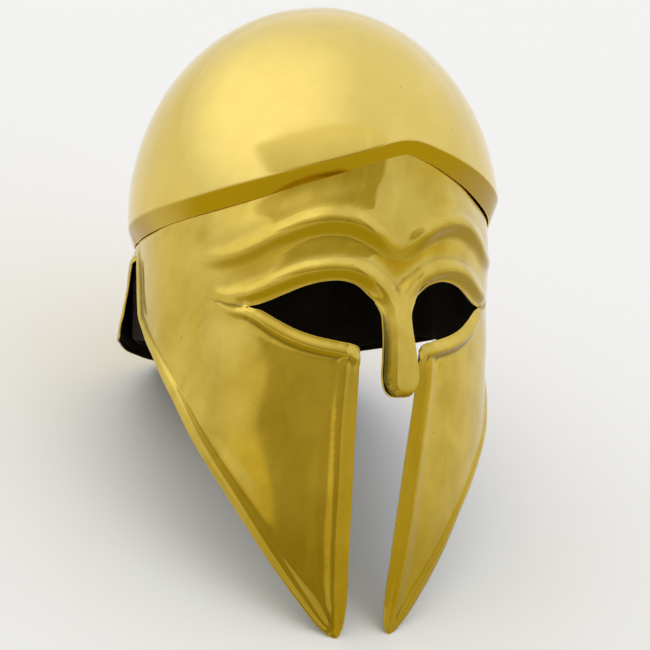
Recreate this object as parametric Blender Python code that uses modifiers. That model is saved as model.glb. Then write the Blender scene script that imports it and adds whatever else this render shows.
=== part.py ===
"""Italo-Corinthian helmet: a polished brass skull bowl set over a brass face guard, with a lining.

A standalone Blender 4.5 script: blender --background --python part.py

The helmet is drawn upright first, in millimetres: the face looks along -Y, +X is the wearer's
left, +Z is up, and height 0 is the level of the eyes. A point of the wall is given by its angle
round from the front and its height. Each piece is one half of an open surface, mirrored and
given its thickness. The pieces then lean back together until the two cheek tips and the rear
edge of the neck guard stand on the ground.
"""

import math

import bpy
import numpy as np
from mathutils import Matrix, geometry

MM = 0.001

# Sheet metal, lining and the clearances between the pieces
BRASS_WALL = 1.3
LINING_WALL = 1.5
LINING_CLEARANCE = 1.5
LIP_CLEARANCE = 0.9

# The skull bowl: a dome on a slightly square-shouldered oval
BOWL_HALF_WIDTH = 112.0
BOWL_FRONT = 130.0
BOWL_BACK = 126.0
BOWL_CENTRE_HEIGHT = 58.3
BOWL_RISE = 128.8
BOWL_PINCH = 0.048
BOWL_COLUMNS = 36
BOWL_ROWS = 8

# Rim line of the bowl, the turned-in band below it, and how the face guard tucks up behind it
# angle, rim height, band drop
RIM = (
    (0, 96.8, 8.0),
    (10, 91.9, 8.2),
    (20, 86.6, 9.0),
    (30, 81.9, 9.3),
    (45, 75.2, 9.8),
    (60, 69.4, 10.4),
    (75, 64.1, 10.5),
    (90, 59.2, 10.5),
    (105, 54.3, 9.8),
    (120, 49.2, 8.6),
    (150, 44.5, 8.2),
    (180, 43.2, 8.2),
)
TUCK = 8.0
JOGGLE = 1.2

# Wall of the face guard, level by level: an oval whose widest line lies a little forward
WIDEST_LINE = -6.0
# height, half width, front reach, back reach, pinch of the front corners
LEVELS = (
    (-195, 77.0, 64.0, 118.0, 0.00),
    (-164, 85.0, 70.0, 118.0, 0.00),
    (-123, 95.5, 78.5, 118.0, 0.01),
    (-70, 107.0, 90.0, 118.0, 0.02),
    (-50, 107.5, 94.8, 118.0, 0.03),
    (-18, 107.0, 100.6, 118.0, 0.03),
    (10, 107.0, 103.6, 119.0, 0.04),
    (34, 107.0, 108.0, 120.5, 0.04),
    (50, 107.0, 110.8, 121.0, 0.05),
    (70, 106.5, 114.0, 121.5, 0.065),
    (87, 106.0, 117.5, 121.5, 0.065),
    (106, 106.0, 120.5, 121.5, 0.06),
)

# Flare of the neck guard: how far it stands out at its lower edge, and its curve down the height
# angle, reach
FLARE_REACH = ((105, 14.0), (115, 13.5), (125, 14.5), (140, 20.0), (158, 23.0), (170, 17.5),
               (180, 15.0))
# height, share of the reach
FLARE_CURVE = ((-40, 1.1), (-29, 1.0), (-9, 0.88), (3, 0.70), (15, 0.52), (27, 0.38), (37, 0.20),
               (44, 0.06), (50, 0.0), (60, 0.0))
FLARE_START = (106.8, 109.0)

# The nasal stands forward of the wall: height, lift of its rear edges
NASAL_LIFT = ((-60, 16.0), (-46, 15.0), (-25, 10.5), (0, 5.0), (10, 2.0), (18, 0.0), (40, 0.0))
NASAL_ANGLES = (6.6, 8.8)

# Outline of one half of the face guard, edge by edge, from the nasal round to the nape.
# Each edge has a raised border: the crest lies some way in, rises, and fades beyond.
# angle, height, crest in, crest rise, fade
NASAL_AND_BROW_EDGE = (
    (0.0, -46.0, 4.0, 9.5, 40.0),
    (2.6, -45.0, 3.0, 9.5, 40.0),
    (4.4, -41.5, 2.0, 10.0, 40.0),
    (4.9, -37.0, 1.8, 10.0, 40.0),
    (4.7, -25.0, 2.0, 9.5, 40.0),
    (4.7, -8.0, 3.0, 7.0, 30.0),
    (5.1, 1.0, 4.5, 5.5, 20.0),
    (6.4, 6.0, 5.5, 6.0, 15.0),
    (8.8, 11.5, 6.5, 7.0, 12.0),
    (12.4, 16.6, 7.0, 8.0, 10.0),
    (17.0, 19.0, 7.5, 8.0, 9.0),
    (21.5, 18.8, 7.5, 7.5, 9.0),
    (28.0, 16.2, 7.5, 6.5, 9.0),
    (34.4, 11.8, 7.5, 5.5, 8.5),
    (41.0, 7.2, 7.0, 4.5, 8.0),
    (47.0, 4.2, 6.5, 3.0, 6.0),
)
LOWER_LID = (
    (47.0, 4.2, 6.5, 3.0, 6.0),
    (42.8, 2.2, 4.5, 2.2, 4.0),
    (36.5, -3.6, 4.0, 2.0, 4.0),
    (30.0, -9.2, 4.0, 2.0, 4.0),
    (24.0, -12.7, 4.0, 2.0, 4.0),
    (17.7, -15.2, 4.0, 2.0, 4.0),
    (12.6, -17.2, 3.8, 2.0, 4.0),
    (10.9, -18.6, 3.6, 2.0, 4.0),
    (10.4, -21.0, 3.5, 1.8, 4.0),
)
CHEEK_GAP_EDGE = (
    (10.4, -21.0, 3.5, 1.8, 4.0),
    (9.9, -50.0, 3.5, 1.8, 4.0),
    (9.1, -94.0, 3.5, 1.8, 4.0),
    (8.9, -140.0, 3.5, 1.6, 4.0),
    (9.1, -173.0, 3.0, 1.4, 3.5),
    (10.2, -182.5, 2.5, 1.0, 3.0),
    (12.3, -187.0, 2.5, 1.0, 3.0),
    (14.8, -186.4, 2.5, 1.0, 3.0),
)
CHEEK_REAR_EDGE = (
    (14.8, -186.4, 2.5, 1.0, 3.0),
    (19.2, -181.4, 3.0, 1.2, 3.5),
    (29.0, -163.6, 4.0, 1.8, 4.0),
    (37.3, -145.5, 4.0, 1.8, 4.0),
    (46.5, -122.8, 4.0, 1.8, 4.0),
    (57.0, -94.3, 4.0, 1.8, 4.0),
    (66.5, -70.5, 4.0, 1.8, 4.0),
    (80.5, -41.5, 4.0, 1.8, 4.0),
    (91.2, -24.8, 4.0, 1.8, 4.0),
    (99.0, -12.5, 4.0, 1.8, 4.0),
    (103.6, -2.0, 4.0, 1.8, 4.0),
    (105.2, 14.0, 4.0, 1.6, 4.0),
    (106.0, 28.0, 3.5, 1.2, 4.0),
    (107.3, 34.0, 3.0, 1.0, 4.0),
)
GUARD_FRONT_EDGE = (
    (107.3, 34.0, 3.0, 1.0, 4.0),
    (108.6, 30.0, 3.0, 0.8, 4.0),
    (109.0, 16.0, 3.5, 0.8, 4.0),
    (109.2, -8.0, 3.5, 0.8, 4.0),
    (110.2, -13.6, 3.5, 0.8, 4.0),
    (113.0, -15.6, 3.5, 0.8, 4.0),
)
GUARD_LOWER_EDGE = (
    (113.0, -15.6, 3.5, 0.8, 4.0),
    (122.0, -18.6, 3.5, 0.8, 4.0),
    (140.0, -24.0, 3.5, 0.8, 4.0),
    (158.0, -30.0, 3.5, 0.8, 4.0),
    (170.0, -29.8, 3.5, 0.8, 4.0),
    (180.0, -29.0, 3.5, 0.8, 4.0),
)
VISIBLE_EDGES = (NASAL_AND_BROW_EDGE, LOWER_LID, CHEEK_GAP_EDGE, CHEEK_REAR_EDGE,
                 GUARD_FRONT_EDGE, GUARD_LOWER_EDGE)

# Crest of the embossed brow: angle, height, rise
BROW = (
    (0.0, 34.5, 1.5),
    (5.0, 40.0, 5.0),
    (8.5, 45.0, 7.5),
    (12.5, 49.3, 9.0),
    (16.5, 51.4, 9.2),
    (21.0, 52.0, 8.6),
    (27.0, 50.3, 7.2),
    (33.0, 46.4, 6.0),
    (38.5, 42.6, 5.2),
    (44.0, 37.6, 4.5),
    (50.5, 33.2, 3.6),
    (57.5, 30.9, 2.8),
    (65.0, 30.6, 1.8),
    (72.0, 32.0, 0.0),
    (90.0, 36.0, 0.0),
    (180.0, 36.0, 0.0),
)
BROW_UPPER_FADE = 17.0
BROW_STEP = 7.0
BROW_STEP_SHARE = 0.3
BROW_LOWER_FADE = 16.0

# Lining: how far it keeps back from the edges that show, and where it leaves the wall for the
# dome, above the tucked edge of the face guard
LINING_INSET = 3.5
LINING_BLEND = (4.0, 32.0)

# Spacing of the mesh, in girth and height
GIRTH_RADIUS = 105.0
OUTLINE_STEP = 1.0
EDGE_STEP = 6.5
FIELD_STEP = 11.0
FIELD_GAP = 7.2
FIELD_FLOOR = -190.0
# Rows of points along the raised borders: share of the crest's distance, least gap to others
BORDER_ROWS = ((1.0, 1.6), (2.2, 4.0))
BORDER_EVERY = 5
# The brow zone is finer: it ends at an angle, and runs from a height to a height
BROW_ZONE = (52.0, 2.0, 70.0)
BROW_ZONE_STEP = 5.6
BROW_ZONE_GAP = 4.0
# Rows of the lining's dome: height, steps from the front round to the nape
LINING_ROWS = ((110, 26), (128, 22), (146, 18), (162, 14), (175, 8))
LINING_ROW_GAP = 4.0
LINING_STEP = 16.0
LINING_GAP = 9.9
LINING_NAPE_TOP = 95.0
LINING_NAPE_STEPS = 5
LINING_FRONT = (92.0, 24.0, 3)
LINING_BROW_LIFT = (8.0, 6.0)
CROWN_STEPS = 4

COLLECTION = "italo_corinthian_helmet"
BRASS = ((0.70, 0.47, 0.13, 1.0), 1.0, 0.16)
LEATHER = ((0.035, 0.022, 0.015, 1.0), 0.0, 0.75)


def read(table, column, at):
    """Read one column of a table against its first column, smoothly between the rows."""
    rows = np.array(table, float)
    knots, values = rows[:, 0], rows[:, column]
    at = np.clip(np.asarray(at, float), knots[0], knots[-1])
    slopes = np.gradient(values, knots)
    row = np.clip(np.searchsorted(knots, at) - 1, 0, len(knots) - 2)
    width = knots[row + 1] - knots[row]
    t = (at - knots[row]) / width
    return (values[row] * (1 + 2 * t) * (1 - t) ** 2 + slopes[row] * width * t * (1 - t) ** 2
            + values[row + 1] * t * t * (3 - 2 * t) + slopes[row + 1] * width * t * t * (t - 1))


def ease(value, low, high):
    """Rise smoothly from 0 at low to 1 at high."""
    t = np.clip((np.asarray(value, float) - low) / (high - low), 0, 1)
    return t * t * (3 - 2 * t)


def oval(angle, half_width, front, back, pinch):
    """Point of a level's oval at an angle round from the front, with pinched front corners."""
    turn = np.radians(angle)
    ahead = np.cos(turn) > 0
    squeeze = 1 - np.where(ahead, pinch, 0) * np.sin(2 * turn) ** 2
    reach = np.where(ahead, front + WIDEST_LINE, back - WIDEST_LINE)
    return (half_width * np.sin(turn) * squeeze,
            WIDEST_LINE - reach * np.cos(turn) * squeeze)


def wall(angle, height):
    """Plain wall of the face guard, before its relief, as an array of points."""
    x, y = oval(angle, read(LEVELS, 1, height), read(LEVELS, 2, height),
                read(LEVELS, 3, height), read(LEVELS, 4, height))
    lift = read(NASAL_LIFT, 1, height) * (1 - ease(angle, *NASAL_ANGLES))
    flare = (read(FLARE_REACH, 1, angle) * read(FLARE_CURVE, 1, height)
             * ease(angle, *FLARE_START))
    turn = np.radians(angle)
    return np.stack([x + flare * np.sin(turn), y - lift - flare * np.cos(turn),
                     np.asarray(height, float) + 0 * x], axis=-1)


def outward(surface, angle, height):
    """Outward unit normals of a surface given as a function of angle and height."""
    step = 0.2
    along = surface(angle + step, height) - surface(angle - step, height)
    up = surface(angle, height + step) - surface(angle, height - step)
    normal = np.cross(along, up)
    return normal / np.linalg.norm(normal, axis=-1, keepdims=True)


def smooth_line(rows, step):
    """Resample an edge's rows along a smooth curve, in equal steps of girth and height."""
    rows = np.array(rows, float)
    flat = rows[:, :2] * (math.radians(1) * GIRTH_RADIUS, 1)
    knots = np.concatenate([[0], np.cumsum(np.linalg.norm(np.diff(flat, axis=0), axis=1))])
    table = np.column_stack([knots, rows])
    count = max(2, round(knots[-1] / step))
    places = np.linspace(0, knots[-1], count + 1)
    return np.column_stack([read(table, 1 + column, places) for column in range(rows.shape[1])])


def visible_outline(step):
    """The visible edge of one half of the face guard, from the nasal round to the nape."""
    lines = [smooth_line(edge, step) for edge in VISIBLE_EDGES]
    return np.vstack([line[:-1] for line in lines] + [lines[-1][-1:]])


def nearest(points, targets):
    """For each point, the index of its nearest target and the distance to it."""
    index = np.empty(len(points), int)
    distance = np.empty(len(points))
    for start in range(0, len(points), 500):
        block = points[start:start + 500]
        gaps = np.linalg.norm(block[:, None, :] - targets[None, :, :], axis=2)
        index[start:start + 500] = gaps.argmin(axis=1)
        distance[start:start + 500] = gaps.min(axis=1)
    return index, distance


def border_relief(angle, height):
    """Rise of the border that follows the visible edges."""
    edge = visible_outline(1.0)
    index, distance = nearest(wall(angle, height), wall(edge[:, 0], edge[:, 1]))
    crest_in, rise, fade = edge[index, 2], edge[index, 3], edge[index, 4]
    inside = np.sin(np.clip(distance / crest_in, 0, 1) * math.pi / 2)
    beyond = np.exp(-(np.clip(distance - crest_in, 0, None) / fade) ** 2)
    return rise * inside * beyond


def brow_relief(angle, height):
    """Rise of the embossed brow: a long slope above its crest and a short step below."""
    above = height - read(BROW, 1, angle)
    upper = np.cos(np.clip(above / BROW_UPPER_FADE, 0, 1) * math.pi / 2) ** 2
    step = 1 - (1 - BROW_STEP_SHARE) * ease(-above, 0, BROW_STEP)
    lower = step * (1 - ease(-above, BROW_STEP, BROW_LOWER_FADE))
    return np.clip(read(BROW, 2, angle), 0, None) * np.where(above > 0, upper, lower)


def lip_height(angle):
    """Height of the lower edge of the bowl's turned-in band."""
    return read(RIM, 1, angle) - read(RIM, 2, angle)


def face_surface(angle, height):
    """Outer surface of the face guard with its relief."""
    relief = border_relief(angle, height) + brow_relief(angle, height)
    below = lip_height(angle) - height
    relief = relief * ease(below, 0, 14) - JOGGLE * (1 - ease(below, 0, 4))
    return wall(angle, height) + relief[:, None] * outward(wall, angle, height)


def bowl_surface(angle, height):
    """Outer surface of the dome."""
    level = (height - BOWL_CENTRE_HEIGHT) / BOWL_RISE
    size = np.sqrt(np.clip(1 - level * level, 0, 1))
    turn = np.radians(angle)
    ahead = np.cos(turn) > 0
    squeeze = 1 - np.where(ahead, BOWL_PINCH, 0) * np.sin(2 * turn) ** 2
    reach = np.where(ahead, BOWL_FRONT, BOWL_BACK)
    return np.stack([BOWL_HALF_WIDTH * size * np.sin(turn) * squeeze,
                     -reach * size * np.cos(turn) * squeeze, height + 0 * turn], axis=-1)


def lining_surface(angle, height):
    """Outer surface of the lining: inside the wall below, and inside the dome above."""
    inset = BRASS_WALL + LINING_CLEARANCE
    low = np.minimum(height, LEVELS[-1][0])
    joggle = JOGGLE * (1 - ease(lip_height(angle) - low, 0, 10))
    side = wall(angle, low) - (inset + joggle)[:, None] * outward(wall, angle, low)
    scale = 1 - inset / BOWL_HALF_WIDTH
    rise = np.maximum(height - BOWL_CENTRE_HEIGHT, 0) / scale
    dome = bowl_surface(angle, BOWL_CENTRE_HEIGHT + rise) * scale
    room = np.linalg.norm(dome[:, :2], axis=1) / np.linalg.norm(side[:, :2], axis=1)
    side[:, :2] *= np.minimum(room, 1)[:, None]
    tucked = height - lip_height(angle) - TUCK
    share = ease(tucked, *LINING_BLEND)[:, None]
    blended = side * (1 - share) + dome * share
    blended[:, 2] = np.minimum(height, BOWL_CENTRE_HEIGHT + BOWL_RISE * scale)
    return blended


def inside(points, loop):
    """Tell which flat points lie inside a closed loop."""
    x, y = points[:, 0], points[:, 1]
    found = np.zeros(len(points), bool)
    for (x0, y0), (x1, y1) in zip(loop, np.roll(loop, -1, axis=0)):
        if y0 != y1:
            crossing = (y0 > y) != (y1 > y)
            found ^= crossing & (x < (x1 - x0) * (y - y0) / (y1 - y0) + x0)
    return found


def flat(angle, height):
    """Girth and height of points of the wall, in which the pieces are cut out and meshed."""
    return np.column_stack([np.radians(angle) * GIRTH_RADIUS, height])


def fill(loop, rows, spacing):
    """Triangulate a closed flat loop with extra inner points, kept apart by their own spacing."""
    kept = []
    placed = loop
    for points, gap in zip(rows, spacing):
        points = points[inside(points, loop)]
        for point in points:
            if np.linalg.norm(placed - point, axis=1).min() > gap:
                placed = np.vstack([placed, point])
                kept.append(point)
    edges = [(i, (i + 1) % len(loop)) for i in range(len(loop))]
    found = geometry.delaunay_2d_cdt([tuple(map(float, p)) for p in placed], edges, [], 1, 1e-6)
    return np.array(found[0]), found[2]


def grid(low, high, step):
    """Staggered grid of flat points."""
    points = []
    for row, y in enumerate(np.arange(low[1], high[1], step * 0.866)):
        for x in np.arange(low[0] + (row % 2) * step / 2, high[0], step):
            points.append((x, y))
    return np.array(points)


def make_object(name, points, faces, material, thickness, collection, parent):
    """Make a mirrored, thickened piece from the points and faces of its half."""
    mesh = bpy.data.meshes.new(name)
    mesh.from_pydata([tuple(map(float, p)) for p in points * MM], [], faces)
    piece = bpy.data.objects.new(name, mesh)
    collection.objects.link(piece)
    piece.parent = parent
    mirror = piece.modifiers.new("other_half", "MIRROR")
    mirror.merge_threshold = 0.00005
    solidify = piece.modifiers.new("wall", "SOLIDIFY")
    solidify.thickness = thickness * MM
    solidify.offset = -1
    colour, metallic, roughness = material
    finish = bpy.data.materials.new(name + "_finish")
    finish.use_nodes = True
    shader = finish.node_tree.nodes["Principled BSDF"]
    shader.inputs["Base Color"].default_value = colour
    shader.inputs["Metallic"].default_value = metallic
    shader.inputs["Roughness"].default_value = roughness
    mesh.materials.append(finish)
    mesh.shade_smooth()
    mesh.set_sharp_from_angle(angle=math.radians(40))
    return piece


def snap_to_middle(points, angle):
    """Put the points of the middle line, at the front and at the nape, exactly on it."""
    points[(angle < 0.001) | (angle > 179.999), 0] = 0
    return points


def drop_flat_faces(points, faces):
    """Merge the points that fell together and drop the faces that collapsed with them."""
    keys = {}
    target = [keys.setdefault(tuple(np.round(p, 3)), i) for i, p in enumerate(points)]
    merged = [tuple(dict.fromkeys(target[i] for i in face)) for face in faces]
    used = sorted({i for face in merged if len(face) > 2 for i in face})
    place = {old: new for new, old in enumerate(used)}
    return points[used], [tuple(place[i] for i in face) for face in merged if len(face) > 2]


def inset_line(distance, clear_share):
    """The visible outline moved in by a distance at each point, as flat points.

    The second result tells which of them keep that distance, less a share, from the outline.
    """
    edge = visible_outline(OUTLINE_STEP)
    line = flat(edge[:, 0], edge[:, 1])
    run = np.gradient(line, axis=0)
    side = np.column_stack([-run[:, 1], run[:, 0]]) / np.linalg.norm(run, axis=1)[:, None]
    inset = line + side * distance[:, None]
    return inset, nearest(inset, line)[1] > distance * clear_share


def face_half():
    """Points and faces of one half of the face guard."""
    edge = visible_outline(EDGE_STEP)
    top_angles = np.linspace(180, 0, round(math.pi * GIRTH_RADIUS / EDGE_STEP) // 2 + 1)
    top = flat(top_angles, lip_height(top_angles) + TUCK)
    nape = edge[-1, 1]
    front = edge[0, 1]
    back_heights = np.arange(nape + FIELD_STEP, top[0, 1] - EDGE_STEP / 2, FIELD_STEP)
    front_heights = np.arange(top[-1, 1] - EDGE_STEP, front + EDGE_STEP / 2, -EDGE_STEP)
    loop = np.vstack([flat(edge[:, 0], edge[:, 1]), flat(0 * back_heights + 180, back_heights),
                      top, flat(0 * front_heights, front_heights)])
    crest_in = visible_outline(OUTLINE_STEP)[:, 2]
    rows = []
    spacing = []
    for share, gap in BORDER_ROWS:
        row, clear = inset_line(crest_in * share, 0.9)
        rows.append(row[::BORDER_EVERY][clear[::BORDER_EVERY]])
        spacing.append(gap)
    zone_girth = math.radians(BROW_ZONE[0]) * GIRTH_RADIUS
    rows.append(grid((0, BROW_ZONE[1]), (zone_girth, BROW_ZONE[2]), BROW_ZONE_STEP))
    rows.append(grid((0, FIELD_FLOOR), (math.pi * GIRTH_RADIUS, LEVELS[-1][0]), FIELD_STEP))
    spacing += [BROW_ZONE_GAP, FIELD_GAP]
    points, faces = fill(loop, rows, spacing)
    angle = np.degrees(points[:, 0] / GIRTH_RADIUS)
    return snap_to_middle(face_surface(angle, points[:, 1]), angle), faces


def bowl_half():
    """Points and faces of one half of the skull bowl with its turned-in band."""
    points = []
    angles = np.linspace(0, 180, BOWL_COLUMNS + 1)
    rim_climb = np.arcsin((read(RIM, 1, angles) - BOWL_CENTRE_HEIGHT) / BOWL_RISE)
    for row in range(BOWL_ROWS + 1):
        climb = rim_climb + (math.pi / 2 - rim_climb) * row / BOWL_ROWS
        points.append(bowl_surface(angles, BOWL_CENTRE_HEIGHT + BOWL_RISE * np.sin(climb)))
    lip = lip_height(angles)
    lip_points = wall(angles, lip) + (BRASS_WALL + LIP_CLEARANCE) * outward(wall, angles, lip)
    lip_points[:, 2] = lip
    points = np.vstack([lip_points] + points)
    width = BOWL_COLUMNS + 1
    faces = [(row * width + column, row * width + column + 1,
              (row + 1) * width + column + 1, (row + 1) * width + column)
             for row in range(BOWL_ROWS + 1) for column in range(BOWL_COLUMNS)]
    return drop_flat_faces(snap_to_middle(points, np.tile(angles, BOWL_ROWS + 2)), faces)


def lining_half():
    """Points and faces of one half of the lining, cut back from the edges that show."""
    edge = visible_outline(OUTLINE_STEP)
    inset, clear = inset_line(np.full(len(edge), LINING_INSET), 0.95)
    brow_count = len(smooth_line(NASAL_AND_BROW_EDGE, OUTLINE_STEP))
    past_brow = np.arange(len(edge)) > brow_count * 0.5
    before_nape = inset[:, 0] < math.pi * GIRTH_RADIUS - 2
    inset = inset[clear & past_brow & before_nape]
    keep = [inset[0]]
    for point in inset:
        if np.linalg.norm(point - keep[-1]) > LINING_STEP * 0.6:
            keep.append(point)
    low = keep[0][1]
    start = np.array([[0.0, low + LINING_BROW_LIFT[0]], [keep[0][0] * 0.6, low + LINING_BROW_LIFT[1]]])
    nape = keep[-1][1]
    nape_heights = np.linspace(nape + LINING_STEP, LINING_NAPE_TOP, LINING_NAPE_STEPS + 1)
    front_heights = np.linspace(LINING_FRONT[0], low + LINING_FRONT[1], LINING_FRONT[2])
    levels = np.array([level for level, _ in LINING_ROWS], float)
    crown = np.full(CROWN_STEPS + 1, BOWL_CENTRE_HEIGHT + BOWL_RISE)
    loop = np.vstack([start, keep,
                      flat(180 + 0 * nape_heights[:1], np.array([nape])),
                      flat(180 + 0 * nape_heights, nape_heights),
                      flat(180 + 0 * levels, levels),
                      flat(np.linspace(180, 0, CROWN_STEPS + 1), crown),
                      flat(0 * levels, levels[::-1]),
                      flat(0 * front_heights, front_heights)])
    inner = [flat(np.linspace(0, 180, count + 1)[1:-1], np.full(count - 1, level))
             for level, count in LINING_ROWS]
    inner.append(grid((0, FIELD_FLOOR), (math.pi * GIRTH_RADIUS, LINING_ROWS[0][0]), LINING_STEP))
    points, faces = fill(loop, inner, [LINING_ROW_GAP] * len(LINING_ROWS) + [LINING_GAP])
    angle = np.degrees(points[:, 0] / GIRTH_RADIUS)
    return drop_flat_faces(snap_to_middle(lining_surface(angle, points[:, 1]), angle), faces)


def lean_angle(points):
    """Angle to lean back so that the cheek tips and the nape edge are level."""
    tips = points[points[:, 1] < 0]
    nape = points[points[:, 1] > 0.08]
    low, high = 0.0, math.pi / 2
    for _ in range(50):
        lean = (low + high) / 2
        drop = [(part[:, 2] * math.cos(lean) - part[:, 1] * math.sin(lean)).min()
                for part in (tips, nape)]
        low, high = (lean, high) if drop[0] < drop[1] else (low, lean)
    return lean


def settle(pieces, resting):
    """Lean the helmet back onto its tips and nape, over the origin."""
    bpy.context.view_layer.update()
    graph = bpy.context.evaluated_depsgraph_get()
    points = np.array([tuple(vertex.co) for piece in pieces
                       for vertex in piece.evaluated_get(graph).data.vertices])
    lean = lean_angle(points)
    turned = points @ np.array(Matrix.Rotation(-lean, 3, "X")).T
    low, high = turned.min(axis=0), turned.max(axis=0)
    resting.rotation_euler = (-lean, 0, 0)
    resting.location = (-(low[0] + high[0]) / 2, -(low[1] + high[1]) / 2, -low[2])


def main():
    """Build the helmet."""
    for old in list(bpy.data.objects):
        bpy.data.objects.remove(old, do_unlink=True)
    collection = bpy.data.collections.new(COLLECTION)
    bpy.context.scene.collection.children.link(collection)
    resting = bpy.data.objects.new("resting", None)
    collection.objects.link(resting)
    pieces = [
        make_object("skull_bowl", *bowl_half(), BRASS, BRASS_WALL, collection, resting),
        make_object("face_guard", *face_half(), BRASS, BRASS_WALL, collection, resting),
        make_object("lining", *lining_half(), LEATHER, LINING_WALL, collection, resting),
    ]
    settle(pieces, resting)


main()
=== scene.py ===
"""Looks of an Italo-Corinthian helmet: hand-polished brass bowl and face guard over a suede lining.

The helmet is drawn upright first, in millimetres: the face looks along -Y, +X is the wearer's
left, +Z is up, and height 0 is the level of the eyes. A point of the wall is given by its angle
round from the front and its height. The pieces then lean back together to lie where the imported
pieces lie, on the cheek tips and the rear edge of the neck guard.
"""

import logging
import math
from collections.abc import Callable
from dataclasses import dataclass, field
from enum import Enum, IntEnum

import bpy
import numpy as np
from mathutils import Matrix, Vector, geometry, kdtree


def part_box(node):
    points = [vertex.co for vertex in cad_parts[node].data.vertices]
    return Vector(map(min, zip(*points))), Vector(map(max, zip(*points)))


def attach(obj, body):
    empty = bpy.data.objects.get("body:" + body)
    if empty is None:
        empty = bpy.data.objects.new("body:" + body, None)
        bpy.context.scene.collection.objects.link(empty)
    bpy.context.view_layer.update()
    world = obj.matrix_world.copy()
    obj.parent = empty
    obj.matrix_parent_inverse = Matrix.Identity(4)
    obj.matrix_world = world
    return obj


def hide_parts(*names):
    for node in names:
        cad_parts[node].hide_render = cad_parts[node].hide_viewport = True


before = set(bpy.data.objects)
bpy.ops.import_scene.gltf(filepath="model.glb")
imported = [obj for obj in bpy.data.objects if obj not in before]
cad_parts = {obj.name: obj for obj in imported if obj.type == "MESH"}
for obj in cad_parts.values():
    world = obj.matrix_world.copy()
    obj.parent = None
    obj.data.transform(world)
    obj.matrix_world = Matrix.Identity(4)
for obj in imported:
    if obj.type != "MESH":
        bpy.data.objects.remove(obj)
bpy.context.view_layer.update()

MM = 0.001
# Distance in mm under which points count as one
TOUCHING = 1e-6
# Asks a triangulation for the triangles inside its loop
TRIANGLES_INSIDE = 1
BODY = "root"
# The helmet's own upright: azimuth and elevation in degrees
UPRIGHT = (0.0, 90.0)
log = logging.getLogger("helmet")

Array = np.ndarray
Rows = tuple[tuple[float, ...], ...]
Span = tuple[float, float]
Faces = list[tuple[int, ...]]


def ease(value: Array, low: float, high: float) -> Array:
    """Rise smoothly from 0 at low to 1 at high.

    Args:
        value: numbers to ease.
        low: where the rise starts.
        high: where it ends.

    Returns:
        Shares from 0 to 1.
    """
    t = np.clip((np.asarray(value, float) - low) / (high - low), 0, 1)
    return t * t * (3 - 2 * t)


def unit(vectors: Array) -> Array:
    """Scale each vector to length 1."""
    return vectors / np.linalg.norm(vectors, axis=-1, keepdims=True)


def neighbours(points: Array) -> kdtree.KDTree:
    """Make a search tree of points; flat ones lie at height 0 in it.

    Args:
        points: flat or solid points.

    Returns:
        The tree.
    """
    tree = kdtree.KDTree(len(points))
    for index, point in enumerate(points.tolist()):
        tree.insert((point + [0.0])[:3], index)
    tree.balance()
    return tree


def gaps(points: Array, tree: kdtree.KDTree) -> Array:
    """Distance from each flat point to the nearest one in a search tree."""
    return np.array([tree.find((*point, 0.0))[2] for point in points.tolist()])


def linear(hex_colour: str) -> tuple[float, float, float, float]:
    """Turn an sRGB hex colour into linear red, green, blue and alpha.

    Args:
        hex_colour: six hex digits after a hash.

    Returns:
        The linear colour, opaque.
    """
    shares = [int(hex_colour[i:i + 2], 16) / 255 for i in (1, 3, 5)]
    red, green, blue = (s / 12.92 if s <= 0.04045 else ((s + 0.055) / 1.055) ** 2.4 for s in shares)
    return red, green, blue, 1.0


@dataclass(frozen=True)
class Table:
    """Rows of numbers that are read smoothly against their first column."""

    rows: Rows

    def read(self, column: int, at: Array) -> Array:
        """Read one column.

        Args:
            column: its number, from 1.
            at: places in the first column.

        Returns:
            The values there, on a smooth curve through the rows.
        """
        rows = np.array(self.rows, float)
        knots, values = rows[:, 0], rows[:, column]
        at = np.clip(np.asarray(at, float), knots[0], knots[-1])
        slopes = np.gradient(values, knots)
        row = np.clip(np.searchsorted(knots, at) - 1, 0, len(knots) - 2)
        width = knots[row + 1] - knots[row]
        t = (at - knots[row]) / width
        return (values[row] * (1 + 2 * t) * (1 - t) ** 2 + slopes[row] * width * t * (1 - t) ** 2
                + values[row + 1] * t * t * (3 - 2 * t) + slopes[row + 1] * width * t * t * (t - 1))


class Section(Enum):
    """Cross-sections of the raised borders: step from the edge, share of the rise.

    Step 0 is the cut edge and step 1 the crest. Steps past 1 count lengths of the fade.
    """

    RIM = ((0, 0.0), (0.4, 0.42), (0.72, 0.8), (0.88, 0.97), (0.95, 1.0), (1, 1.0), (1.08, 1.0),
           (1.3, 0.99), (1.6, 0.91), (1.95, 0.69), (2.3, 0.41), (2.7, 0.15), (3.1, 0.03), (3.5, 0.0))
    LID = ((0, 0.1), (0.16, 0.26), (0.4, 0.53), (0.65, 0.8), (0.85, 0.97), (0.94, 1.0), (1, 1.0),
           (1.12, 0.99), (1.45, 0.9), (1.85, 0.68), (2.25, 0.41), (2.7, 0.16), (3.2, 0.03),
           (3.7, 0.0))
    FLANGE = ((0, 0.25), (0.1, 0.6), (0.24, 0.74), (0.4, 0.64), (0.54, 0.58), (0.68, 0.68),
              (0.84, 0.92), (0.95, 1.0), (1, 1.0), (1.15, 0.98), (1.5, 0.8), (1.9, 0.4),
              (2.2, 0.14), (2.5, 0.03), (2.8, 0.0))
    ROLL = ((0, 0.1), (0.25, 0.55), (0.6, 0.92), (0.85, 1.0), (1, 1.0), (1.15, 0.99),
            (1.5, 0.84), (1.8, 0.5), (2.05, 0.17), (2.3, 0.03), (2.55, 0.0))

    def share(self, step: Array) -> Array:
        """Share of the rise at each step."""
        return Table(self.value).read(1, step)

    def bends(self) -> list[float]:
        """Steps at which the section bends, the crest first."""
        return sorted((row[0] for row in self.value[1:]), key=lambda step: (step != 1, step))


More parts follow.
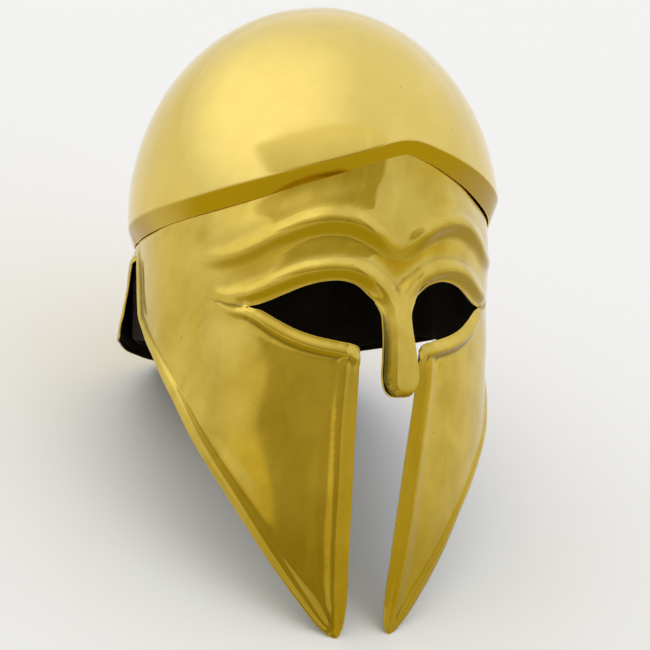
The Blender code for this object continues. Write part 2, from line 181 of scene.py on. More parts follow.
class Side(Enum):
    """Side of the eye opening on which a border's metal lies."""

    ABOVE = 1
    BELOW = -1


class Column(IntEnum):
    """Columns of an edge's rows. The brow's rows start with the same two."""

    ANGLE = 0
    HEIGHT = 1
    CREST_IN = 2
    RISE = 3
    FADE = 4


@dataclass(frozen=True)
class Edge:
    """One stretch of the face guard's outline with its raised border.

    Each row has the columns of Column: angle, height, distance from the edge to the crest, rise
    of the crest, and the length over which the border fades out beyond it, in degrees and mm.
    Only the rows in the range called cut are an edge: past them the border runs on over the
    whole metal, on one side of a groove.
    """

    section: Section
    side: Side
    rows: Rows
    cut: tuple[int, int | None] = (0, None)


NASAL_AND_BROW = Edge(Section.RIM, Side.ABOVE, (
    (0.0, -46.4, 3.0, 9.8, 120.0),
    (1.4, -46.3, 3.0, 9.8, 120.0),
    (2.9, -45.6, 3.0, 9.8, 120.0),
    (4.9, -42.0, 3.0, 9.8, 120.0),
    (5.5, -36.5, 3.0, 9.8, 120.0),
    (5.1, -25.0, 3.0, 9.6, 120.0),
    (4.8, -8.0, 3.8, 7.2, 24.0),
    (5.1, 1.0, 4.8, 5.7, 8.5),
    (6.4, 6.0, 5.9, 5.3, 5.4),
    (8.8, 11.5, 6.9, 5.0, 4.4),
    (12.4, 16.6, 7.3, 5.0, 3.9),
    (17.0, 19.0, 7.4, 4.8, 3.6),
    (21.5, 18.8, 7.4, 4.6, 3.5),
    (28.0, 16.2, 7.4, 4.5, 3.5),
    (34.4, 11.8, 7.2, 4.3, 3.5),
    (41.0, 7.2, 7.0, 4.1, 3.4),
    (44.0, 5.6, 6.9, 3.9, 3.4),
    (47.0, 4.5, 6.8, 3.6, 3.3),
    (50.0, 4.2, 6.4, 2.8, 3.2),
    (53.0, 4.8, 5.4, 2.3, 3.1),
    (56.0, 6.2, 3.9, 1.7, 3.0),
    (59.0, 8.2, 2.7, 0.9, 2.8),
    (62.0, 10.5, 2.0, 0.0, 2.6),
), cut=(0, 18))
LOWER_LID = Edge(Section.LID, Side.BELOW, (
    (62.0, 10.5, 1.6, 0.0, 1.5),
    (59.0, 8.2, 1.7, 0.5, 1.5),
    (56.0, 6.2, 1.9, 1.0, 1.6),
    (53.0, 4.8, 2.3, 1.5, 1.8),
    (50.0, 4.2, 3.0, 2.3, 2.0),
    (47.0, 4.5, 3.9, 2.7, 2.0),
    (42.8, 2.2, 4.8, 3.4, 2.0),
    (36.5, -3.6, 5.4, 3.7, 2.0),
    (30.0, -9.2, 5.6, 3.7, 2.0),
    (24.0, -12.7, 5.6, 3.7, 2.0),
    (17.7, -15.2, 5.5, 3.5, 2.0),
    (12.6, -17.2, 5.2, 3.0, 2.1),
    (10.9, -18.6, 5.0, 2.3, 2.2),
    (10.4, -21.0, 4.8, 2.0, 2.3),
), cut=(5, None))
CHEEK_GAP = Edge(Section.FLANGE, Side.BELOW, (
    (10.4, -21.0, 8.5, 1.8, 3.6),
    (9.9, -50.0, 9.3, 2.2, 4.0),
    (9.1, -94.0, 9.3, 2.2, 4.0),
    (8.9, -140.0, 9.0, 2.1, 4.0),
    (9.1, -173.0, 7.0, 1.4, 3.4),
    (10.2, -182.5, 4.5, 1.0, 2.5),
    (12.3, -187.0, 3.0, 0.7, 2.5),
    (14.8, -186.4, 3.0, 0.8, 2.5),
))
CHEEK_REAR = Edge(Section.ROLL, Side.BELOW, (
    (14.8, -186.4, 3.0, 0.8, 2.5),
    (19.2, -181.4, 3.6, 1.0, 3.0),
    (29.0, -163.6, 4.6, 1.3, 3.4),
    (37.3, -145.5, 5.0, 1.5, 3.6),
    (46.5, -122.8, 5.0, 1.6, 3.6),
    (57.0, -94.3, 5.0, 1.7, 3.6),
    (66.5, -70.5, 5.0, 1.8, 3.6),
    (80.5, -41.5, 5.0, 2.0, 3.6),
    (91.2, -24.8, 4.6, 2.4, 3.6),
    (99.0, -12.5, 4.0, 3.2, 3.6),
    (103.6, -2.0, 3.6, 3.8, 3.6),
    (105.2, 14.0, 3.4, 3.9, 3.6),
    (106.0, 28.0, 3.2, 3.4, 3.6),
    (107.3, 34.0, 3.0, 2.4, 3.4),
))
GUARD_FRONT = Edge(Section.ROLL, Side.BELOW, (
    (107.3, 34.0, 3.0, 2.4, 3.4),
    (108.6, 30.0, 3.0, 1.8, 3.0),
    (109.0, 16.0, 3.0, 0.9, 3.0),
    (109.2, -8.0, 3.0, 0.9, 3.0),
    (110.2, -13.6, 3.0, 0.9, 3.0),
    (113.0, -15.6, 3.0, 0.9, 3.0),
))
GUARD_LOWER = Edge(Section.ROLL, Side.BELOW, (
    (113.0, -15.6, 3.0, 0.9, 3.0),
    (122.0, -18.6, 3.0, 0.9, 3.0),
    (140.0, -24.0, 3.0, 0.9, 3.0),
    (158.0, -30.0, 3.0, 0.9, 3.0),
    (170.0, -29.8, 3.0, 0.9, 3.0),
    (180.0, -29.0, 3.0, 0.9, 3.0),
))
EDGES = (NASAL_AND_BROW, LOWER_LID, CHEEK_GAP, CHEEK_REAR, GUARD_FRONT, GUARD_LOWER)
# The part of the lower lid's line that is only a groove, outside the corner of the eye
GROOVE = LOWER_LID.rows[:LOWER_LID.cut[0] + 1]


@dataclass(frozen=True)
class Form:
    """Shape of the helmet's walls, without thickness, in upright millimetres."""

    bowl_half_width: float = 112.0
    bowl_front: float = 130.0
    bowl_back: float = 126.0
    bowl_centre_height: float = 58.3
    bowl_rise: float = 128.8
    # share by which the bowl's front corners are drawn in
    bowl_pinch: float = 0.048
    brass_wall: float = 1.3
    lip_clearance: float = 0.25
    # how far the face guard goes up inside the bowl, and how far it is set in for that
    tuck: float = 8.0
    joggle: float = 0.1
    # Y at which the plain wall is widest
    widest_line: float = -6.0
    # radius that turns angles into girths where sheets are cut out flat
    girth_radius: float = 105.0
    # angle, rim height, band drop
    rim: Table = Table((
        (0, 96.2, 7.4), (2, 96.1, 7.9), (5, 95.0, 8.3), (10, 92.1, 8.4), (20, 86.6, 9.0),
        (30, 81.9, 9.3), (45, 75.2, 9.8), (60, 69.4, 10.4), (75, 64.1, 10.5), (90, 59.2, 10.5),
        (105, 54.3, 9.8), (120, 49.2, 8.6), (150, 44.5, 8.2), (180, 43.2, 8.2)))
    # height, half width, front reach, back reach, pinch of the front corners
    levels: Table = Table((
        (-195, 77.0, 64.0, 118.0, 0.00), (-164, 85.0, 70.0, 118.0, 0.00),
        (-123, 95.5, 78.5, 118.0, 0.01), (-70, 107.0, 90.0, 118.0, 0.02),
        (-50, 107.5, 94.8, 118.0, 0.03), (-18, 107.0, 100.6, 118.0, 0.03),
        (10, 107.0, 103.6, 119.0, 0.04), (34, 107.0, 108.0, 120.5, 0.04),
        (50, 107.0, 110.8, 121.0, 0.05), (70, 106.5, 114.0, 121.5, 0.065),
        (87, 106.0, 117.5, 121.5, 0.065), (106, 106.0, 120.5, 121.5, 0.06)))
    # angle, how far the neck guard stands out at its lower edge
    flare_reach: Table = Table((
        (105, 14.0), (115, 13.5), (125, 14.5), (140, 20.0), (158, 23.0), (170, 17.5),
        (180, 15.0)))
    # height, share of that reach
    flare_curve: Table = Table((
        (-40, 1.1), (-29, 1.0), (-9, 0.88), (3, 0.70), (15, 0.52), (27, 0.38), (37, 0.20),
        (44, 0.06), (50, 0.0), (60, 0.0)))
    flare_start: tuple[float, float] = (106.8, 109.0)
    # height, how far the nasal stands forward of the wall
    nasal_lift: Table = Table((
        (-110, 0.0), (-60, 16.0), (-46, 15.0), (-25, 10.5), (0, 5.0), (10, 2.0), (18, 0.0),
        (40, 0.0)))
    nasal_angles: tuple[float, float] = (6.6, 8.8)

    def oval(self, angle: Array, half_width: Array, front: Array, back: Array,
             pinch: Array | float, widest: float) -> tuple[Array, Array]:
        """Work out a level's oval, whose front corners are pinched in.

        Args:
            angle: angles round from the front.
            half_width: half its breadth.
            front: reach forward of the axis.
            back: reach behind the axis.
            pinch: share by which the front corners are drawn in.
            widest: Y of its widest line.

        Returns:
            X and Y at the angles.
        """
        turn = np.radians(angle)
        ahead = np.cos(turn) > 0
        squeeze = 1 - np.where(ahead, pinch, 0) * np.sin(2 * turn) ** 2
        reach = np.where(ahead, front + widest, back - widest)
        return half_width * np.sin(turn) * squeeze, widest - reach * np.cos(turn) * squeeze

    def wall(self, angle: Array, height: Array) -> Array:
        """Points of the face guard's plain wall, before its relief.

        Args:
            angle: angles round from the front.
            height: heights over the eyes.

        Returns:
            The points.
        """
        sizes = (self.levels.read(column, height) for column in (1, 2, 3, 4))
        x, y = self.oval(angle, *sizes, self.widest_line)
        lift = self.nasal_lift.read(1, height) * (1 - ease(angle, *self.nasal_angles))
        flare = (self.flare_reach.read(1, angle) * self.flare_curve.read(1, height)
                 * ease(angle, *self.flare_start))
        turn = np.radians(angle)
        return np.stack([x + flare * np.sin(turn), y - lift - flare * np.cos(turn),
                         np.asarray(height, float) + 0 * x], axis=-1)

    def dome(self, angle: Array, height: Array) -> Array:
        """Points of the bowl's outer surface.

        Args:
            angle: angles round from the front.
            height: heights over the eyes.

        Returns:
            The points.
        """
        level = (height - self.bowl_centre_height) / self.bowl_rise
        size = np.sqrt(np.clip(1 - level * level, 0, 1))
        x, y = self.oval(angle, self.bowl_half_width * size, self.bowl_front * size,
                         self.bowl_back * size, self.bowl_pinch, 0.0)
        return np.stack([x, y, height + 0 * x], axis=-1)

    def top(self) -> float:
        """Height up to which the plain wall is laid down."""
        return self.levels.rows[-1][0]

    def rim_height(self, angle: Array) -> Array:
        """Height of the bowl's rim."""
        return self.rim.read(1, angle)

    def lip_height(self, angle: Array) -> Array:
        """Height of the lower edge of the bowl's turned-in band."""
        return self.rim.read(1, angle) - self.rim.read(2, angle)

    def flat(self, angle: Array, height: Array) -> Array:
        """Girth and height of points of the wall, in which the sheets are cut out."""
        return np.column_stack([np.radians(angle) * self.girth_radius, height])

    def angle(self, girth: Array) -> Array:
        """Angle of a girth."""
        return np.degrees(girth / self.girth_radius)

    def normals(self, surface: Callable[[Array, Array], Array], angle: Array, height: Array,
                step: float = 0.15) -> Array:
        """Outward unit normals of a surface given as a function of angle and height.

        Args:
            surface: the function.
            angle: angles of the points.
            height: heights of the points.
            step: how far to each side the slopes are read, in mm.

        Returns:
            One normal for each point.
        """
        turn = math.degrees(step / self.girth_radius)
        along = surface(angle + turn, height) - surface(angle - turn, height)
        up = surface(angle, height + step) - surface(angle, height - step)
        return unit(np.cross(along, up))


@dataclass
class Course:
    """A line on the wall, with the values that its rows carry along it."""

    form: Form
    rows: Rows
    step: float = 1.0
    values: Array = field(init=False)
    points: Array = field(init=False)
    tree: kdtree.KDTree = field(init=False)

    def __post_init__(self) -> None:
        """Draw the line finely."""
        rows = np.array(self.rows, float)
        flat = self.form.flat(rows[:, 0], rows[:, 1])
        runs = np.linalg.norm(np.diff(flat, axis=0), axis=1)
        knots = np.concatenate([[0], np.cumsum(runs)])
        table = Table(tuple(map(tuple, np.column_stack([knots, rows]))))
        places = np.linspace(0, knots[-1], max(2, round(knots[-1] / self.step)) + 1)
        self.values = np.column_stack([table.read(1 + i, places) for i in range(rows.shape[1])])
        self.points = self.form.wall(self.values[:, 0], self.values[:, 1])
        self.tree = neighbours(self.points)

    def measure(self, points: Array) -> tuple[Array, Array]:
        """Distance from points to the line, and the line's values at the nearest place.

        Args:
            points: points near the wall.

        Returns:
            The distances, and one row of values for each point.
        """
        nearest = np.array([self.tree.find(point)[1] for point in points.tolist()])
        distance = np.full(len(points), np.inf)
        values = np.zeros((len(points), self.values.shape[1]))
        for shift in (-1, 0):
            start = np.clip(nearest + shift, 0, len(self.points) - 2)
            run = self.points[start + 1] - self.points[start]
            share = ((points - self.points[start]) * run).sum(1) / (run * run).sum(1)
            share = np.clip(share, 0, 1)[:, None]
            gap = np.linalg.norm(points - self.points[start] - share * run, axis=1)
            closer = gap < distance
            distance[closer] = gap[closer]
            row = self.values[start] * (1 - share) + self.values[start + 1] * share
            values[closer] = row[closer]
        return distance, values


@dataclass
class Relief:
    """Everything that is embossed on the face guard: raised borders, brow and the metal between."""

    form: Form
    # angle, height, rise of the brow's crest, share of its full breadth
    brow: Rows = (
        (0.0, 34.5, 0.7, 1.0), (5.0, 40.0, 2.3, 1.0), (8.5, 45.0, 4.0, 1.0),
        (12.5, 49.3, 4.5, 1.0), (16.5, 51.4, 4.6, 1.0), (21.0, 52.0, 4.5, 1.0),
        (27.0, 50.3, 4.3, 0.95), (33.0, 46.4, 3.9, 0.9), (38.5, 42.6, 3.5, 0.87),
        (44.0, 37.6, 3.0, 0.84), (50.5, 33.2, 2.5, 0.8), (57.5, 30.9, 1.9, 0.76),
        (63.0, 30.6, 0.9, 0.72), (69.0, 31.4, 0.0, 0.7), (90.0, 36.0, 0.0, 0.7),
        (180.0, 36.0, 0.0, 0.7))
    # distance above the crest at full breadth, share of its rise
    brow_section: Table = Table((
        (-10.5, 0.0), (-9.0, 0.01), (-7.8, 0.05), (-6.8, 0.13), (-5.8, 0.24), (-3.5, 0.53),
        (-1.5, 0.8), (-0.6, 0.91), (0.3, 0.98), (1.4, 1.0), (2.6, 0.95), (4.0, 0.77),
        (5.4, 0.5), (6.8, 0.24), (8.2, 0.08), (9.8, 0.01), (11.5, 0.0)))
    # share of the brow's rise by which the forehead stands out above the metal below the brow
    step_up: float = 0.3
    # angle, how far the metal between brow and eye is raised as a whole
    swell: Table = Table((
        (0, 2.2), (10, 2.0), (20, 1.9), (28, 1.7), (36, 1.2), (44, 0.7), (52, 0.3), (60, 0.0)))
    # heights over which the swell comes and goes
    swell_from: Span = (6.0, 30.0)
    swell_to: Span = (46.0, 88.0)
    # distances over the brow's crest line at which the step comes and goes
    step_from: Span = (-8.0, 6.0)
    step_to: Span = (8.0, 42.0)
    # angle, height that parts the borders above the eye opening from those below it
    parting: Rows = (
        (0.0, -300.0), (7.0, -300.0), (8.0, -40.0), (9.0, -6.0), (12.0, 0.0), (20.0, 2.0),
        (35.0, 3.5), (46.0, 4.4))
    # a height above all metal, which leaves no border on the upper side
    no_parting: float = 400.0
    # power that joins two borders in a rounded mitre
    sharpness: float = 8.0
    # heights below the bowl's lip over which the relief sets in and the joggle ends
    lip_fade: float = 14.0
    joggle_fade: float = 4.0
    # angle over which the relief runs level across the middle line
    middle_ease: float = 0.5

    def __post_init__(self) -> None:
        """Lay the lines that the relief follows."""
        self.courses = [(edge, Course(self.form, edge.rows)) for edge in EDGES]
        groove = Course(self.form, GROOVE).values[::-1, :2]
        self.part_at = np.vstack([self.parting, groove, [[groove[-1, 0] + 1.0, self.no_parting]]])
        self.brow_course = Course(self.form, self.brow)
        self.brow_table = Table(self.brow)

    def borders(self, angle: Array, height: Array, points: Array) -> Array:
        """Rise of the borders, which meet in smooth mitres.

        Args:
            angle: angles round from the front.
            height: heights over the eyes.
            points: the same places on the plain wall.

        Returns:
            The rise at each.
        """
        above = height > np.interp(angle, *self.part_at.T)
        total = np.zeros(len(points))
        for edge, course in self.courses:
            chosen = above if edge.side is Side.ABOVE else ~above
            if not chosen.any():
                continue
            distance, values = course.measure(points[chosen])
            crest_in, rise, fade = values[:, Column.CREST_IN:].T
            step = np.where(distance < crest_in, distance / crest_in,
                            1 + (distance - crest_in) / fade)
            total[chosen] += (rise * np.clip(edge.section.share(step), 0, None)) ** self.sharpness
        return total ** (1 / self.sharpness)

    def brows(self, height: Array, points: Array) -> Array:
        """Rise of the embossed brow.

        Args:
            height: heights over the eyes.
            points: the same places on the plain wall.

        Returns:
            The rise at each.
        """
        distance, values = self.brow_course.measure(points)
        _, crest, rise, breadth = values.T
        above = np.where(height > crest, distance, -distance)
        return np.clip(rise, 0, None) * self.brow_section.read(1, above / breadth)

    def rise(self, angle: Array, height: Array) -> Array:
        """Height of all relief over the plain wall.

        Args:
            angle: angles round from the front.
            height: heights over the eyes.

        Returns:
            The rise at each.
        """
        form = self.form
        angle = np.sqrt(np.square(angle) + self.middle_ease ** 2)
        points = form.wall(angle, height)
        over = height - self.brow_table.read(1, angle)
        rise = (self.borders(angle, height, points) + self.brows(height, points)
                + self.swell.read(1, angle) * ease(height, *self.swell_from)
                * (1 - ease(height, *self.swell_to))
                + np.clip(self.brow_table.read(2, angle), 0, None) * self.step_up
                * ease(over, *self.step_from) * (1 - ease(over, *self.step_to)))
        below = form.lip_height(angle) - height
        joggle = form.joggle * (1 - ease(below, 0, self.joggle_fade))
        return rise * ease(below, 0, self.lip_fade) - joggle

    def surface(self, angle: Array, height: Array) -> Array:
        """Outer surface of the face guard with its relief.

        Args:
            angle: angles round from the front.
            height: heights over the eyes.

        Returns:
            The points.
        """
        form = self.form
        return (form.wall(angle, height)
                + self.rise(angle, height)[:, None] * form.normals(form.wall, angle, height))

    def hollow(self, angle: Array, height: Array, reach: float = 2.2) -> Array:
        """How hollow the relief is at each point, as curvature in 1/mm.

        Args:
            angle: angles of the points.
            height: heights of the points.
            reach: how far to each side the relief is read, in mm.

        Returns:
            Positive numbers in creases and negative ones on ridges.
        """
        turn = math.degrees(reach / self.form.girth_radius)
        around = sum(self.rise(angle + a, height + h)
                     for a, h in ((turn, 0), (-turn, 0), (0, reach), (0, -reach)))
        return (around - 4 * self.rise(angle, height)) / reach ** 2


@dataclass(frozen=True)
class Waves:
    """Slow unevenness that hammering and planishing leave in a sheet."""

    seed: int
    shortest: float
    longest: float
    height: float
    count: int = 40

    def at(self, points: Array) -> Array:
        """Height of the unevenness at points.

        Args:
            points: points in upright millimetres.

        Returns:
            Heights in millimetres, with a standard deviation of the given height.
        """
        chance = np.random.default_rng(self.seed)
        directions = unit(chance.normal(size=(self.count, 3)))
        lengths = np.exp(chance.uniform(math.log(self.shortest), math.log(self.longest), self.count))
        phases = chance.uniform(0, 2 * math.pi, self.count)
        waves = np.sin(points @ (directions * (2 * math.pi / lengths)[:, None]).T + phases)
        return waves.sum(1) * self.height * math.sqrt(2 / self.count)


@dataclass
class Sheet:
    """A sheet's outer surface, whole or one half, with the outward normals at its points."""

    points: Array
    normals: Array
    faces: Faces

    def whole(self) -> "Sheet":
        """Join a half and its mirror image on the middle line.

        Returns:
            The whole sheet.
        """
        middle = np.abs(self.points[:, 0]) < TOUCHING
        count = len(self.points)
        place = np.arange(count)
        place[~middle] = count + np.arange((~middle).sum())
        flip = np.array([-1.0, 1.0, 1.0])
        normals = self.normals.copy()
        normals[middle, 0] = 0
        return Sheet(np.vstack([self.points, self.points[~middle] * flip]),
                     unit(np.vstack([normals, normals[~middle] * flip])),
                     self.faces + [tuple(int(place[i]) for i in face[::-1]) for face in self.faces])

    def relaxed(self, rounds: int, share: float = 0.5) -> "Sheet":
        """The same sheet with its small kinks worn down; the open edges stay.

        Args:
            rounds: how many times each point and normal is drawn towards its neighbours.
            share: how far each time.

        Returns:
            The sheet.
        """
        corners = np.array(self.faces)
        starts, ends = corners.ravel(), np.roll(corners, -1, axis=1).ravel()
        starts, ends = np.concatenate([starts, ends]), np.concatenate([ends, starts])
        number = np.bincount(starts, minlength=len(self.points))[:, None]
        free = np.ones(len(self.points), bool)
        free[[i for pair in self.rims() for i in pair]] = False
        values = np.hstack([self.points, self.normals])
        for _ in range(rounds):
            total = np.zeros_like(values)
            np.add.at(total, starts, values[ends])
            values[free] += share * (total / number - values)[free]
        return Sheet(values[:, :3], unit(values[:, 3:]), self.faces)

    def rims(self) -> list[tuple[int, int]]:
        """Open edges, each directed as its face runs."""
        found = {(face[i - 1], face[i]) for face in self.faces for i in range(len(face))}
        return [(a, b) for a, b in found if (b, a) not in found]


@dataclass
class Plate:
    """A closed thin-walled body made from a sheet: outer face, rounded cut edge and inner face."""

    sheet: Sheet
    thickness: float
    edge_rows: int = 3
    edge_swell: float = 0.35

    def build(self) -> tuple[Array, Array, Faces, Array]:
        """Work out the body.

        Returns:
            Its points, its normals, its faces, and for each point 0 outside to 1 inside.
        """
        sheet = self.sheet
        count = len(sheet.points)
        rims = sheet.rims()
        outwards = np.zeros((count, 3))
        for a, b in rims:
            run = unit(sheet.points[b] - sheet.points[a])
            outwards[a] += run
            outwards[b] += run
        on_rim = sorted({i for pair in rims for i in pair})
        outwards[on_rim] = unit(np.cross(outwards[on_rim], sheet.normals[on_rim]))
        points = [sheet.points]
        normals = [sheet.normals]
        depth = [np.zeros(count)]
        row_of = {i: {0: i} for i in on_rim}
        placed = count
        middle = sheet.points[on_rim] - sheet.normals[on_rim] * self.thickness / 2
        for row in range(1, self.edge_rows + 1):
            turn = math.pi * row / (self.edge_rows + 1)
            points.append(middle + sheet.normals[on_rim] * math.cos(turn) * self.thickness / 2
                          + outwards[on_rim] * math.sin(turn) * self.edge_swell * self.thickness)
            normals.append(unit(sheet.normals[on_rim] * math.cos(turn)
                                + outwards[on_rim] * math.sin(turn)))
            depth.append(np.full(len(on_rim), row / (self.edge_rows + 1)))
            for order, i in enumerate(on_rim):
                row_of[i][row] = placed + order
            placed += len(on_rim)
        points.append(sheet.points - sheet.normals * self.thickness)
        normals.append(-sheet.normals)
        depth.append(np.ones(count))
        last = self.edge_rows + 1
        for i in on_rim:
            row_of[i][last] = placed + i
        faces = list(sheet.faces)
        faces += [tuple(placed + i for i in face[::-1]) for face in sheet.faces]
        for a, b in rims:
            for row in range(last):
                faces.append((row_of[b][row], row_of[a][row], row_of[a][row + 1],
                              row_of[b][row + 1]))
        return np.vstack(points), np.vstack(normals), faces, np.concatenate(depth)


@dataclass(frozen=True)
class Zone:
    """A flat stretch, from the front round to a girth, that is filled with a staggered grid.

    Its gap is the least distance of its points to all others, as a share of their spacing.
    """

    girth: float
    low: float
    high: float
    step: float
    gap: float

    def grid(self) -> Array:
        """Lay the grid.

        Returns:
            Its flat points.
        """
        rows = []
        heights = np.arange(self.low, self.high, self.step * math.sin(math.pi / 3))
        for number, y in enumerate(heights):
            x = np.arange((number % 2) * self.step / 2, self.girth, self.step)
            rows.append(np.column_stack([x, np.full(len(x), y)]))
        return np.vstack(rows)


@dataclass
class Pattern:
    """Cuts a flat sheet out of the wall's girth and height and fills it with points."""

    form: Form
    loop: Array
    taken: list[Array] = field(default_factory=list)
    joins: list[tuple[int, int]] = field(default_factory=list)

    def inside(self, points: Array) -> Array:
        """Tell which points lie inside the loop.

        Args:
            points: flat points.

        Returns:
            True or False for each.
        """
        x, y = points[:, 0], points[:, 1]
        found = np.zeros(len(points), bool)
        for (x0, y0), (x1, y1) in zip(self.loop, np.roll(self.loop, -1, axis=0)):
            if y0 != y1:
                crossing = (y0 > y) != (y1 > y)
                found ^= crossing & (x < (x1 - x0) * (y - y0) / (y1 - y0) + x0)
        return found

    def add(self, points: Array, gap: float, join: float = 0.0) -> None:
        """Add points that lie inside and keep a gap to all earlier ones.

        Args:
            points: flat points, which are far enough from each other already.
            gap: least distance to the loop and to the points added before.
            join: neighbours no farther apart than this become an edge of the mesh.
        """
        placed = np.vstack([self.loop, *self.taken])
        points = points[self.inside(points)]
        points = points[gaps(points, neighbours(placed)) > gap]
        near = np.linalg.norm(np.diff(points, axis=0), axis=1) < join
        self.joins += [(len(placed) + i, len(placed) + i + 1)
                       for i in np.flatnonzero(near).tolist()]
        self.taken.append(points)

    def fill(self, zone: Zone) -> None:
        """Add the points of a zone."""
        self.add(zone.grid(), zone.step * zone.gap)

    def mesh(self) -> tuple[Array, Array, Faces]:
        """Triangulate.

        Returns:
            Angles and heights of the points, and the triangles between them.
        """
        placed = np.vstack([self.loop, *self.taken])
        edges = [(i, (i + 1) % len(self.loop)) for i in range(len(self.loop))]
        found = geometry.delaunay_2d_cdt(placed.tolist(), edges + self.joins, [],
                                         TRIANGLES_INSIDE, TOUCHING)
        flat = np.array(found[0])
        return self.form.angle(flat[:, 0]), flat[:, 1], [tuple(face) for face in found[2]]


def outline(form: Form, step: float) -> Array:
    """Draw the cut edge of one half of the face guard, from the nasal round to the nape.

    Args:
        form: shape of the walls.
        step: spacing of the points.

    Returns:
        The flat points.
    """
    lines = [Course(form, edge.rows[slice(*edge.cut)], step).values[:, :2] for edge in EDGES]
    rows = np.vstack([line[:-1] for line in lines] + [lines[-1][-1:]])
    return form.flat(rows[:, 0], rows[:, 1])


def beside(line: Array, distance: float | Array, cut: Array, nearest: float = 0.96) -> Array:
    """A flat line moved in by a distance, without the points that come too near an edge again.

    Args:
        line: the flat line.
        distance: how far to its left it moves, one number or one for each point.
        cut: the cut edges, drawn finely.
        nearest: share of the distance that a moved point keeps at least to every edge.

    Returns:
        The moved points.
    """
    distance = np.zeros(len(line)) + distance
    run = np.gradient(line, axis=0)
    moved = line + unit(np.column_stack([-run[:, 1], run[:, 0]])) * distance[:, None]
    return moved[gaps(moved, neighbours(cut)) > np.abs(distance) * nearest]


def thinned(line: Array, gap: float) -> Array:
    """Drop the points of a line that follow the last kept one too closely.

    Args:
        line: flat points in order.
        gap: least distance between neighbours.

    Returns:
        The points kept.
    """
    kept = [line[0]]
    for point in line[1:]:
        if math.hypot(*(point - kept[-1])) > gap:
            kept.append(point)
    return np.array(kept)


def on_middle(points: Array, angle: Array, near: float = 1e-3) -> Array:
    """Put the points of the middle line, at the front and at the nape, exactly on it."""
    points[(angle < near) | (angle > 180 - near), 0] = 0
    return points


def welded(points: Array, faces: Faces) -> tuple[Array, Faces]:
    """Join the points of a mesh that lie in one place, as at the crown.

    Args:
        points: the points.
        faces: the faces between them.

    Returns:
        The points and faces left.
    """
    first: dict[tuple, int] = {}
    kept = [first.setdefault(tuple(np.round(point, 3)), i) for i, point in enumerate(points)]
    joined = [tuple(dict.fromkeys(kept[i] for i in face)) for face in faces]
    joined = [face for face in joined if len(face) > 2]
    used = sorted({i for face in joined for i in face})
    place = {old: new for new, old in enumerate(used)}
    return points[used], [tuple(place[i] for i in face) for face in joined]


@dataclass(frozen=True)
class Rest:
    """How the upright helmet lies in the frame: leaned back about X, then moved."""

    lean: float
    offset: Vector
    nape_from: float = 80.0
    halvings: int = 50

    @classmethod
    def settle(cls, face: Array, bowl: Array) -> "Rest":
        """Find the lean that levels the cheek tips and the nape, and fit the bowl to its node.

        Args:
            face: upright points of the face guard.
            bowl: upright points of the bowl.

        Returns:
            The rest.
        """
        tips = face[face[:, 1] < 0]
        nape = face[face[:, 1] > cls.nape_from]
        low, high = 0.0, math.pi / 2
        for _ in range(cls.halvings):
            lean = (low + high) / 2
            drops = [(part[:, 2] * math.cos(lean) - part[:, 1] * math.sin(lean)).min()
                     for part in (tips, nape)]
            low, high = (lean, high) if drops[0] < drops[1] else (low, lean)
        turned = bowl @ np.array(Matrix.Rotation(-lean, 3, "X")).T * MM
        lowest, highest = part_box("skull_bowl")
        middle = (turned.min(0) + turned.max(0)) / 2
        offset = (lowest + highest) / 2 - Vector(middle)
        offset.x = 0
        return cls(lean, offset)

    def matrix(self) -> Matrix:
        """Upright metres to frame metres."""
        return Matrix.Translation(self.offset) @ Matrix.Rotation(-self.lean, 4, "X")


def add_node(tree: bpy.types.NodeTree, kind: str, inputs: dict | None = None,
             **settings: object) -> bpy.types.Node:
    """Add a node with its settings, values and links.

    Args:
        tree: where it goes.
        kind: the node's type name, without the leading ShaderNode.
        inputs: value or output socket for each input, by name or number.
        settings: the node's own properties.

    Returns:
        The node.
    """
    node = tree.nodes.new("ShaderNode" + kind)
    for name, value in settings.items():
        setattr(node, name, value)
    for key, value in (inputs or {}).items():
        if isinstance(value, bpy.types.NodeSocket):
            tree.links.new(value, node.inputs[key])
        else:
            node.inputs[key].default_value = value
    return node


def blank(name: str) -> tuple[bpy.types.Material, bpy.types.NodeTree]:
    """Start a material without nodes.

    Args:
        name: the real material's name.

    Returns:
        The material and its node tree.
    """
    material = bpy.data.materials.new(name)
    material.use_nodes = True
    material.node_tree.nodes.clear()
    return material, material.node_tree


